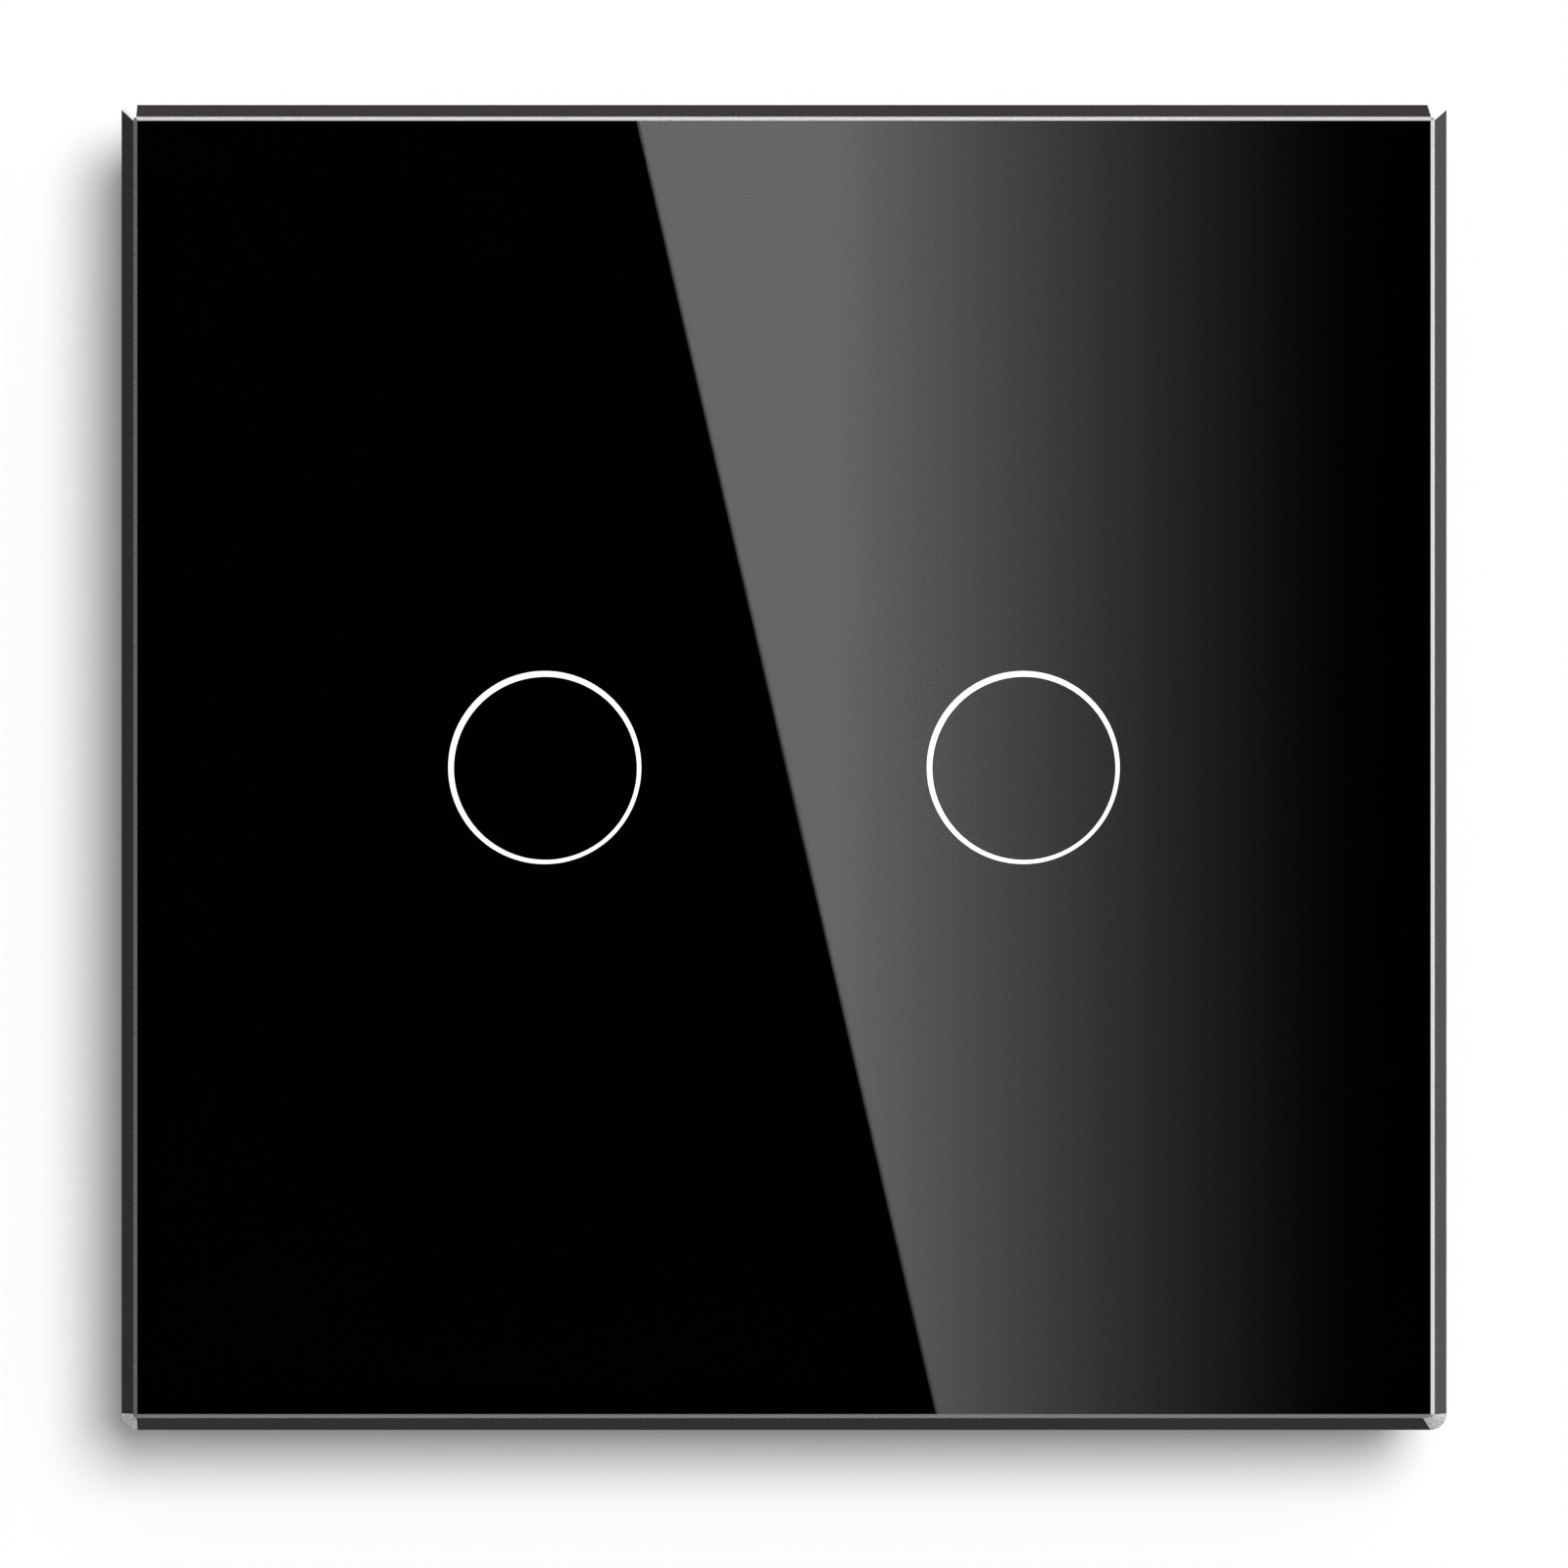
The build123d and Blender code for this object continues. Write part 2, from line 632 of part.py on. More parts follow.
def touch_spring(x):
    """The sensing coil between the touch board and the glass, wound about the lamp."""
    radius = (SPRING_OUTER - SPRING_WIRE) / 2
    low = touch_board_front - BEARING_GAP - SPRING_WIRE / 2
    high = backing_back + BEARING_GAP + SPRING_WIRE / 2
    halves = 2 * SPRING_TURNS
    rise = (high - low) / halves
    slope = rise / (radius * math.pi)

    def point(i):
        side = (-1) ** i
        return Vector(x + side * radius, low + rise * i, 0)

    def way(i):
        return Vector(0, slope, (-1) ** i).normalized()

    arcs = []
    for i in range(halves):
        arcs += biarc(point(i), way(i), point(i + 1), way(i + 1))
    print("least gap in the sensing coil", round(abs(2 * rise) - SPRING_WIRE, 3))
    start = Plane(origin=point(0), z_dir=way(0))
    return sweep(start * RegularPolygon(SPRING_WIRE / 2, WIRE_SIDES), Wire(arcs))


def indicator_led(x):
    """The lamp of one ring, with the well of its lens."""
    across, tall = (x - LED_LONG / 2, x + LED_LONG / 2), (-LED_WIDE / 2, LED_WIDE / 2)
    front = touch_board_front - LED_TALL
    lamp = brick(across, (front, touch_board_front), tall)
    return lamp - bore((x, 0), LED_LENS, front - OVERRUN, front + LED_LENS_DEEP)


def leaded_package(long, wide, tall, span, leads_per_side, pitch):
    """A moulded package on the plane Y = 0, rising along +Y, with bent leads on its Z sides."""
    body = brick((-long / 2, long / 2), (LEAD_STANDOFF, tall), (-wide / 2, wide / 2))
    body = chamfer(body.faces().sort_by(Axis.Y)[-1].edges(), PACKAGE_EDGE)
    shoulder = (tall - LEAD_THICK) / 2
    for i in range(leads_per_side):
        middle = (i - (leads_per_side - 1) / 2) * pitch
        across = (middle - LEAD_WIDE / 2, middle + LEAD_WIDE / 2)
        for side in (-1, 1):
            knee = side * (wide / 2 + span / 2) / 2
            inner, end = side * (wide / 2 - LEAD_THICK), side * span / 2
            leg_end = knee + side * LEAD_THICK
            body += brick(across, (shoulder, shoulder + LEAD_THICK), (inner, leg_end))
            body += brick(across, (0, shoulder + LEAD_THICK), (knee, leg_end))
            body += brick(across, (0, LEAD_THICK), (knee, end))
    return body


def touch_controller():
    """The chip that reads both springs, on the front of the touch board."""
    chip = leaded_package(CHIP_LONG, CHIP_WIDE, CHIP_TALL, CHIP_SPAN, CHIP_LEADS, CHIP_PITCH)
    return Pos(0, touch_board_front, -CHIP_DROP) * Rot(0, 0, 180) * chip


def bridge_rectifier():
    """The rectifier of the supply, on the back of the power board."""
    bridge = leaded_package(BRIDGE_LONG, BRIDGE_WIDE, BRIDGE_TALL, BRIDGE_SPAN, BRIDGE_LEADS, BRIDGE_PITCH)
    return Pos(0, power_board_back, bridge_z) * Rot(0, 90, 0) * bridge


def contact_places():
    """Where the pins between the two boards lie along X."""
    return [(i - (CONTACTS - 1) / 2) * CONTACT_PITCH for i in range(CONTACTS)]


def connector_body(front, back):
    """The plain moulding of the socket or the header."""
    long = CONTACTS * CONTACT_PITCH
    z_span = (socket_z - SOCKET_THICK / 2, socket_z + SOCKET_THICK / 2)
    return brick((-long / 2, long / 2), (front, back), z_span)


def board_socket():
    """The socket behind the touch board, with its tails soldered through it."""
    back = touch_board_back + SOCKET_TALL
    body = connector_body(touch_board_back, back)
    for x in contact_places():
        body += pin((x, socket_z), CONTACT_PIN, touch_board_front - CONTACT_PIN, touch_board_back)
        body -= pin((x, socket_z), CONTACT_HOLE, back - SOCKET_DEEP, back + OVERRUN)
    return body


def pin_header():
    """The header on the power board, whose pins reach into the socket and through the board."""
    front = power_board_front - HEADER_TALL
    body = connector_body(front, power_board_front)
    for x in contact_places():
        body += pin((x, socket_z), CONTACT_PIN, front - HEADER_REACH, power_board_back + CONTACT_PIN)
    return body


def rear_housing():
    """The box behind the bracket: stepped down over the terminals, with wells, posts and vents."""
    everywhere = (-HOUSING_SIZE, HOUSING_SIZE)
    past_rear = DEPTH_IN_WALL + OVERRUN
    outline = RectangleRounded(HOUSING_SIZE, HOUSING_SIZE, HOUSING_CORNER)
    outer = slab(outline, land_back, DEPTH_IN_WALL)
    outer -= brick(everywhere, (terminal_face, past_rear), (-HOUSING_SIZE, step_z))
    outer = chamfer(outer.faces().sort_by(Axis.Y)[-1].edges(), HOUSING_EDGE)
    inner = RectangleRounded(2 * housing_inside, 2 * housing_inside, HOUSING_CORNER - HOUSING_WALL)
    cavity = slab(inner, land_back - OVERRUN, rear_inside)
    step_y = (terminal_face - HOUSING_WALL, past_rear)
    cavity -= brick(everywhere, step_y, (-HOUSING_SIZE, step_z + HOUSING_WALL))
    housing = outer - cavity
    for x, z in corner_places:
        back = terminal_face if z < 0 else DEPTH_IN_WALL
        housing += stud((x, z), HOUSING_BOSS, land_back, back - HOUSING_EDGE)
        housing -= rod((x, z), HOUSING_WELL, land_back + HOUSING_BOSS_FLOOR, back + OVERRUN)
        housing -= bore((x, z), CORNER_SCREW + 2 * PIN_GAP, land_back - OVERRUN, back)
    pilot = (power_board_back - OVERRUN, power_board_back + POST_PILOT_DEEP)
    for place in post_places:
        housing += stud(place, BOARD_POST, power_board_back, rear_inside)
        housing -= bore(place, POST_SCREW + PIN_GAP, *pilot)
    opening = (-block_half - FIT_GAP, block_half + FIT_GAP)
    opening_z = (block_bottom - FIT_GAP, block_top + FIT_GAP)
    housing -= brick(opening, (terminal_face - HOUSING_WALL - OVERRUN, past_rear), opening_z)
    half_wide = WIRE_HOLE_WIDE / 2 + WIRE_WINDOW_EXTRA
    half_tall = WIRE_HOLE_TALL / 2 + WIRE_WINDOW_EXTRA
    window_y = (wire_middle - half_tall, wire_middle + half_tall)
    wall_z = (-HOUSING_SIZE / 2 - OVERRUN, (block_bottom - housing_inside) / 2)
    for x in pole_places:
        housing -= brick((x - half_wide, x + half_wide), window_y, wall_z)
    for middle in relay_places:
        for i in range(VENTS_PER_RELAY):
            x = middle + (i - (VENTS_PER_RELAY - 1) / 2) * VENT_PITCH
            vent = Pos(x, RELAY_RISE) * Rectangle(VENT_WIDE, VENT_LONG)
            housing -= slab(vent, rear_inside - OVERRUN, past_rear)
    return housing


def power_board():
    """The rear circuit board, notched round the housing's bosses and drilled for every pin."""
    size = 2 * (housing_inside - POWER_BOARD_ROUND)
    corner = HOUSING_CORNER - HOUSING_WALL - POWER_BOARD_ROUND
    board = slab(RectangleRounded(size, size, corner), power_board_front, power_board_back)
    reach = (power_board_front - OVERRUN, power_board_back + OVERRUN)
    for place in corner_places:
        board -= bore(place, HOUSING_BOSS + 2 * POWER_BOARD_ROUND, *reach)
    for place in post_places:
        board -= bore(place, POST_SCREW + 2 * FIT_GAP, *reach)
    for x in contact_places():
        board -= pin((x, socket_z), CONTACT_PIN + 2 * PIN_GAP, *reach)
    for x in pole_places:
        board -= pin((x, leg_middle), BUSBAR_THICK + 2 * PIN_GAP, *reach)
    for middle in relay_places:
        for places in relay_pins.values():
            for x, z in places:
                board -= pin((middle + x, RELAY_RISE + z), RELAY_PIN + 2 * PIN_GAP, *reach)
    for place in lead_places():
        board -= pin(place, LEAD_WIRE + 2 * PIN_GAP, *reach)
    return board


def lead_places():
    """Where the wire leads of the loose parts pass through the power board."""
    film = [(0, side * FILM_LEAD_PITCH / 2 - FILM_DROP) for side in (-1, 1)]
    can = [(CAN_X + side * CAN_LEAD_PITCH / 2, can_z) for side in (-1, 1)]
    varistor = [(VARISTOR_X + side * VARISTOR_LEAD_PITCH / 2, varistor_z) for side in (-1, 1)]
    fuse = [(FUSE_X, fuse_z), (FUSE_X, fuse_z + 2 * FUSE_LOOP)]
    return film + can + varistor + fuse


def leads(places, back):
    """Straight wire leads from a part down through the power board."""
    return [pin(place, LEAD_WIRE, tail_end, back) for place in places]


def film_capacitor():
    """The boxed mains capacitor between the relays."""
    half_wide, half_long = FILM_WIDE / 2, FILM_LONG / 2
    middle = -FILM_DROP
    case = brick((-half_wide, half_wide), (power_board_back, power_board_back + FILM_TALL),
                 (middle - half_long, middle + half_long))
    case = fillet(case.faces().sort_by(Axis.Y)[-1].edges(), FILM_EDGE)
    return case + leads(lead_places()[:2], power_board_back)


def electrolytic_capacitor():
    """The round can: crimped near its foot and scored with a cross on top."""
    radius, waist = CAN / 2, CAN / 2 - CAN_GROOVE_DEEP
    profile = Polygon(
        (0, 0), (radius, 0), (radius, CAN_GROOVE_UP), (waist, CAN_GROOVE_UP + CAN_GROOVE_TALL / 2),
        (radius, CAN_GROOVE_UP + CAN_GROOVE_TALL), (radius, CAN_TALL - CAN_EDGE),
        (radius - CAN_EDGE, CAN_TALL), (0, CAN_TALL), align=None,
    )
    can = Pos(CAN_X, power_board_back, can_z) * revolve(profile, Axis.Y)
    top = power_board_back + CAN_TALL
    arm = Rectangle(CAN, CAN_CROSS_WIDE)
    inside = Circle(radius - 2 * CAN_EDGE)
    cross = Pos(CAN_X, can_z) * ((arm + Rot(0, 0, 90) * arm) & inside)
    can -= slab(cross, top - CAN_CROSS_DEEP, top + OVERRUN)
    return can + leads(lead_places()[2:4], power_board_back)


def varistor():
    """The surge disc, standing on its two leads."""
    disc = Cylinder(VARISTOR / 2, VARISTOR_THICK)
    disc = chamfer(disc.edges().filter_by(GeomType.CIRCLE), VARISTOR_EDGE)
    lift = power_board_back + VARISTOR_LIFT + VARISTOR / 2
    return Pos(VARISTOR_X, lift, varistor_z) * disc + leads(lead_places()[4:6], lift)


def fuse_resistor():
    """The fusible resistor, standing on end with its top lead looped back down."""
    foot = power_board_back + FUSE_LIFT
    top = foot + FUSE_TALL
    body = stud((FUSE_X, fuse_z), FUSE_WAIST, foot, top)
    for low in (foot, top - FUSE_CAP_TALL):
        body += stud((FUSE_X, fuse_z), FUSE, low, low + FUSE_CAP_TALL)
    body += pin((FUSE_X, fuse_z), LEAD_WIRE, tail_end, foot)
    bend = top + FUSE_LIFT
    far_z = fuse_z + 2 * FUSE_LOOP
    up = Line((FUSE_X, top - FUSE_LIFT, fuse_z), (FUSE_X, bend, fuse_z))
    over = ThreePointArc(up @ 1, (FUSE_X, bend + FUSE_LOOP, fuse_z + FUSE_LOOP), (FUSE_X, bend, far_z))
    down = Line(over @ 1, (FUSE_X, tail_end, far_z))
    start = Plane(origin=up @ 0, z_dir=(0, 1, 0))
    return body + sweep(start * Rectangle(LEAD_WIRE, LEAD_WIRE), Wire([up, over, down]))


def terminal_block():
    """The moulding of the four terminals: a pocket, wire entry, ledge and screw well for each."""
    block = brick((-block_half, block_half), (power_board_back, block_back), (block_bottom, block_top))
    pocket_half = POLE_POCKET / 2
    hole_half, hole_low = WIRE_HOLE_WIDE / 2, wire_middle - WIRE_HOLE_TALL / 2
    well_z = cage_bottom + CAGE_DEEP / 2
    slot_half = BUSBAR_WIDE / 2 + PIN_GAP
    board_side = power_board_back - OVERRUN
    entry_y = (hole_low, hole_low + WIRE_HOLE_TALL)
    entry_z = (block_bottom - OVERRUN, pocket_bottom + OVERRUN)
    for x in pole_places:
        pocket = (x - pocket_half, x + pocket_half)
        block -= brick(pocket, (board_side, ledge_front), (pocket_bottom, pocket_top))
        slot = (x - slot_half, x + slot_half)
        block -= brick(slot, (board_side, busbar_back + PIN_GAP), (pocket_bottom, leg_top + PIN_GAP))
        block -= bore((x, well_z), CLAMP_SCREW + 2 * CLAMP_HOLE_GAP, ledge_front - OVERRUN, ledge_back)
        block -= rod((x, well_z), CLAMP_WELL, ledge_back, block_back + OVERRUN)
        block -= brick((x - hole_half, x + hole_half), entry_y, entry_z)
        block -= wire_funnel(x)
    return block


def wire_funnel(x):
    """The flared mouth of one wire entry."""
    mouth = Rectangle(WIRE_HOLE_WIDE + 2 * WIRE_FUNNEL, WIRE_HOLE_TALL + 2 * WIRE_FUNNEL)
    throat = Rectangle(WIRE_HOLE_WIDE, WIRE_HOLE_TALL)
    outer = Plane.XY.offset(block_bottom) * Pos(x, wire_middle) * mouth
    inner = Plane.XY.offset(block_bottom + WIRE_FUNNEL) * Pos(x, wire_middle) * throat
    return loft([outer, inner])


def terminal_cage(x):
    """The sleeve that rises with its screw and grips the wire against the busbar."""
    top = cage_bottom + CAGE_DEEP
    floor = power_board_back + CAGE_LIFT
    z_span = (cage_bottom, top)
    cage = brick((x - cage_half, x + cage_half), (floor, nut_back), z_span)
    inside = cage_half - CAGE_SIDE
    hollow = (x - inside, x + inside)
    cage -= brick(hollow, (cage_floor_back, nut_front), (cage_bottom - OVERRUN, top + OVERRUN))
    middle = (x, (cage_bottom + top) / 2)
    return cage - bore(middle, CLAMP_SCREW + PIN_GAP, nut_front - OVERRUN, nut_back + OVERRUN)


def terminal_screw(x):
    """The captive clamping screw of one terminal, reached from behind."""
    length = clamp_head_front - busbar_back - BEARING_GAP
    place = (x, cage_bottom + CAGE_DEEP / 2)
    return screw(place, clamp_head_front, -1, CLAMP_HEAD, CLAMP_HEAD_TALL, CLAMP_SCREW, length, rod)


def busbar(x):
    """The fixed tongue inside one cage, bent down to its solder pin."""
    half = BUSBAR_WIDE / 2
    bar = brick((x - half, x + half), (busbar_front, busbar_back), (pocket_bottom + BUSBAR_END_GAP, leg_top))
    bar += brick((x - half, x + half), (power_board_back + BEARING_GAP, busbar_back), (leg_bottom, leg_top))
    return bar + pin((x, leg_middle), BUSBAR_THICK, tail_end, power_board_back + BEARING_GAP)


def relay_case(x):
    """The open-bottomed cover of one relay."""
    half, end = RELAY_WIDE / 2, RELAY_LONG / 2
    top = power_board_back + RELAY_TALL
    z_span = (RELAY_RISE - end, RELAY_RISE + end)
    case = brick((x - half, x + half), (power_board_back, top), z_span)
    case = fillet(case.faces().sort_by(Axis.Y)[-1].edges(), RELAY_EDGE)
    hollow_half = half - RELAY_CASE
    hollow = (x - hollow_half, x + hollow_half)
    hollow_y = (power_board_back - OVERRUN, top - RELAY_CASE)
    return case - brick(hollow, hollow_y, (RELAY_RISE - relay_end, RELAY_RISE + relay_end))


def relay_base(x):
    """The floor of one relay, drilled for its pins."""
    half, end = RELAY_WIDE / 2 - RELAY_CASE - BEARING_GAP, relay_end - BEARING_GAP
    z_span = (RELAY_RISE - end, RELAY_RISE + end)
    base = brick((x - half, x + half), (power_board_back, relay_base_back), z_span)
    reach = (power_board_back - OVERRUN, relay_base_back + OVERRUN)
    for places in relay_pins.values():
        for dx, dz in places:
            base -= pin((x + dx, RELAY_RISE + dz), RELAY_PIN + 2 * PIN_GAP, *reach)
    return base


def relay_pin_rods(x, kind, back):
    """The solder pins of one kind, from a piece down through the power board."""
    return [pin((x + dx, RELAY_RISE + dz), RELAY_PIN, tail_end, back) for dx, dz in relay_pins[kind]]


def relay_bobbin(x):
    """The coil former with its two square flanges and coil pins."""
    place = (x, RELAY_RISE + coil_middle)
    flange = Pos(*place) * Rectangle(BOBBIN_SIZE, BOBBIN_SIZE)
    bobbin = slab(flange, yoke_floor_back, yoke_floor_back + BOBBIN_FLANGE)
    bobbin += slab(flange, bobbin_back - BOBBIN_FLANGE, bobbin_back)
    bobbin += stud(place, BOBBIN_BARREL, yoke_floor_back, bobbin_back)
    bobbin -= bore(place, CORE + FIT_GAP, yoke_floor_back - OVERRUN, bobbin_back + OVERRUN)
    return bobbin + relay_pin_rods(x, "coil", yoke_floor_back)


def relay_winding(x):
    """The copper winding, as one sleeve between the flanges."""
    place = (x, RELAY_RISE + coil_middle)
    front = yoke_floor_back + BOBBIN_FLANGE + BEARING_GAP
    back = bobbin_back - BOBBIN_FLANGE - BEARING_GAP
    winding = stud(place, WINDING_OUTER, front, back)
    return winding - bore(place, BOBBIN_BARREL + PIN_GAP, front - OVERRUN, back + OVERRUN)


def relay_yoke(x):
    """The iron of one relay that stays still: floor, upright, core and pole face."""
    half = YOKE_WIDE / 2
    low = RELAY_RISE + yoke_outside
    core_place = (x, RELAY_RISE + coil_middle)
    across = (x - half, x + half)
    yoke = brick(across, (relay_base_back, yoke_floor_back), (low, RELAY_RISE + coil_middle + half))
    yoke += brick(across, (relay_base_back, armature_front - BEARING_GAP), (low, low + YOKE_THICK))
    yoke += stud(core_place, CORE, yoke_floor_back, pole_face)
    yoke += stud(core_place, POLE_FACE, pole_face - POLE_FACE_TALL, pole_face)
    return yoke + relay_pin_rods(x, "yoke", relay_base_back)


def relay_armature(x):
    """The iron flap that the coil pulls down, pivoting on the yoke's inner edge."""
    half = YOKE_WIDE / 2
    low = RELAY_RISE + yoke_outside - ARMATURE_OVERHANG
    high = RELAY_RISE + coil_middle + POLE_FACE / 2 + ARMATURE_PAST_POLE
    return brick((x - half, x + half), (armature_front, armature_back), (low, high))


def relay_leaf(x):
    """The leaf spring riveted on the armature, with the moving contact at its end."""
    half = LEAF_WIDE / 2
    low = RELAY_RISE + yoke_outside + LEAF_START
    contact = (x, RELAY_RISE + contact_middle)
    high = contact[1] + MOVING_CONTACT / 2 + LEAF_PAST_CONTACT
    leaf = brick((x - half, x + half), (armature_back, leaf_back), (low, high))
    leaf += stud(contact, MOVING_CONTACT, moving_contact_front, armature_back)
    for place in (contact, (x, low + half), (x, RELAY_RISE + coil_middle)):
        leaf += stud(place, CONTACT_RIVET, leaf_back, leaf_back + CONTACT_RIVET_TALL)
    return leaf


def relay_fixed_contact(x):
    """The contact that stays still, on its bent arm and pin."""
    half = FIXED_ARM_WIDE / 2
    arm_back = fixed_contact_back - FIXED_CONTACT_TALL
    end = RELAY_RISE + fixed_arm_end
    contact = (x, RELAY_RISE + contact_middle)
    across = (x - half, x + half)
    arm_z = (contact[1] - FIXED_CONTACT / 2, end)
    piece = brick(across, (arm_back - FIXED_ARM_THICK, arm_back), arm_z)
    piece += brick(across, (relay_base_back, arm_back), (end - FIXED_ARM_THICK, end))
    piece += stud(contact, FIXED_CONTACT, arm_back, fixed_contact_back)
    return piece + relay_pin_rods(x, "fixed", relay_base_back)


def screw_sets():
    """Each set of like screws, one solid to a screw."""
    corner = (CORNER_SCREW_HEAD, CORNER_SCREW_HEAD_TALL, CORNER_SCREW, CORNER_SCREW_LONG)
    board = (BOARD_SCREW_HEAD, BOARD_SCREW_HEAD_TALL, BOARD_SCREW, BOARD_SCREW_LONG)
    post = (POST_SCREW_HEAD, POST_SCREW_HEAD_TALL, POST_SCREW, POWER_BOARD_THICK + POST_SCREW_GRIP)
    sets = {
        "housing_screws": (corner_places, land_back + HOUSING_BOSS_FLOOR, -1, corner),
        "touch_board_screws": (board_screw_places, touch_board_back, -1, board),
        "power_board_screws": (post_places, power_board_front, 1, post),
    }
    return {
        name: Compound([screw(place, seat, way, *sizes) for place in places])
        for name, (places, seat, way, sizes) in sets.items()
    }


def all_pieces():
    """Every piece of the switch under its name."""
    pieces = {
        "glass_panel": glass_panel(),
        "black_backing": black_backing(),
        "adhesive_frame": adhesive_frame(),
        "panel_frame": panel_frame(),
        "mounting_bracket": mounting_bracket(),
        "module_cover": module_cover(),
        "touch_board": touch_board(),
        "touch_controller": touch_controller(),
        "board_socket": board_socket(),
        "pin_header": pin_header(),
        "power_board": power_board(),
        "rear_housing": rear_housing(),
        "film_capacitor": film_capacitor(),
        "electrolytic_capacitor": electrolytic_capacitor(),
        "varistor": varistor(),
        "fuse_resistor": fuse_resistor(),
        "bridge_rectifier": bridge_rectifier(),
        "terminal_block": terminal_block(),
        "terminal_busbars": Compound([busbar(x) for x in pole_places]),
    }
    pieces.update(screw_sets())
    for side, x in zip(("left", "right"), ring_places):
        pieces[f"touch_ring_{side}"] = touch_ring(x)
        pieces[f"light_guide_{side}"] = light_guide(x)
        pieces[f"touch_spring_{side}"] = touch_spring(x)
        pieces[f"indicator_led_{side}"] = indicator_led(x)
    for side, x in zip(("left", "right"), relay_places):
        pieces[f"relay_case_{side}"] = relay_case(x)
        pieces[f"relay_base_{side}"] = relay_base(x)
        pieces[f"relay_bobbin_{side}"] = relay_bobbin(x)
        pieces[f"relay_winding_{side}"] = relay_winding(x)
        pieces[f"relay_yoke_{side}"] = relay_yoke(x)
        pieces[f"relay_armature_{side}"] = relay_armature(x)
        pieces[f"relay_leaf_{side}"] = relay_leaf(x)
        pieces[f"relay_fixed_contact_{side}"] = relay_fixed_contact(x)
    for number, x in enumerate(pole_places, start=1):
        pieces[f"terminal_cage_{number}"] = terminal_cage(x)
        pieces[f"terminal_screw_{number}"] = terminal_screw(x)
    return pieces


os.makedirs("parts", exist_ok=True)
for name, piece in all_pieces().items():
    export_step(piece, f"parts/{name}.step")
    print(name, round(piece.volume))
print("clamping travel", cage_travel, "glass front", glass_front, "block back", block_back)
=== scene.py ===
# %% [markdown]
# # A touch light switch with a black glass face
#
# The switch is a flat square of black glass that hangs on a wall, with a steel
# bracket, a small moulded box of electronics and four wire clamps hidden behind
# it. Its sizes are already fixed by a measured model, which the frame loads.
# This lesson gives every piece its finish, adds the fine things that the
# measured model leaves out, and sets up the wall, the light and the camera.

import math
from functools import partial

import bmesh
import bpy
from mathutils import Matrix, Vector


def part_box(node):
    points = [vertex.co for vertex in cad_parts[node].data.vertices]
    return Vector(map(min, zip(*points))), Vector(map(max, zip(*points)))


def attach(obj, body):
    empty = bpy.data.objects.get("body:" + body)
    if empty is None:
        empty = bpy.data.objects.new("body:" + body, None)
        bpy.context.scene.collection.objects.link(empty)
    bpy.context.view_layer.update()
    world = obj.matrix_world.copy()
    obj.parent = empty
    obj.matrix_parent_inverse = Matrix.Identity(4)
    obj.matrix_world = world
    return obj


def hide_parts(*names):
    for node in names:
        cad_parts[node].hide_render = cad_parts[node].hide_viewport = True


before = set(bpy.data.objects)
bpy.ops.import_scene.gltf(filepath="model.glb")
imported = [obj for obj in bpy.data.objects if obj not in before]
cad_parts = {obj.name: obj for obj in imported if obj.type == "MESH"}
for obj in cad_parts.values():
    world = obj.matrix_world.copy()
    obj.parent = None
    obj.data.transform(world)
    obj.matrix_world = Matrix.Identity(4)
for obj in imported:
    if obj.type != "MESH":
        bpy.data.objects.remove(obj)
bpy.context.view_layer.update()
MM = 0.001


print("pieces in the measured model:", len(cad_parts))

# %% [markdown]
# ## Sizes that several cells share
#
# X runs to the right, Z runs up and Y runs into the wall, whose face is at zero.
# Most places are read from the measured pieces, so nothing has to be fitted.

# %% Sizes read from the measured pieces
def box_of(node):
    """The low corner, the middle and the high corner of a measured piece."""
    low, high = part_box(node)
    return low, (low + high) / 2, high


glass_low, _, glass_high = box_of("glass_panel")
GLASS_FRONT = glass_low.y
GLASS_BACK = glass_high.y
GLASS_HALF = glass_high.x
COAT_BACK = box_of("black_backing")[2].y
BOARD_FRONT = box_of("power_board")[0].y
BOARD_BACK = box_of("power_board")[2].y
TOUCH_FRONT = box_of("touch_board")[0].y
RING_X = 14.5 * MM
SIDES = ("left", "right")
TERMINALS = (1, 2, 3, 4)
print("glass from", round(GLASS_FRONT / MM, 2), "to", round(GLASS_BACK / MM, 2), "mm in depth")

# %% [markdown]
# ## Small helpers for nodes
#
# Each finish is a node tree. These helpers add a node, join two sockets and
# start a material, so that the cells below say only what is special to a finish.
# A socket knows its own tree, so a helper that is given one needs no other hint.

# %% Helpers that add and join nodes
def put(value, socket):
    """Joins a socket to another one, or sets it to a plain value. One number for a colour is a grey."""
    if isinstance(value, bpy.types.NodeSocket):
        socket.id_data.links.new(value, socket)
    elif socket.type == "RGBA":
        red, green, blue = value if isinstance(value, tuple) else (value, value, value)
        socket.default_value = (red, green, blue, 1)
    else:
        socket.default_value = value


def fill(node, *values):
    """Puts values on a node's inputs in their order, and gives back its first output."""
    for value, socket in zip(values, node.inputs):
        put(value, socket)
    return node.outputs[0]


def feed(node, **values):
    """Sets a node's properties and inputs by name, with _ for a space in the name of an input."""
    for key, value in values.items():
        if hasattr(node, key):
            setattr(node, key, value)
        else:
            put(value, node.inputs[key.replace("_", " ")])
    return node


def add(tree, kind, **values):
    """Adds a node and feeds it."""
    return feed(tree.nodes.new(kind), **values)


def empty_tree(owner):
    """The node tree of a material or world, with no node in it yet."""
    owner.use_nodes = True
    owner.node_tree.nodes.clear()
    return owner.node_tree


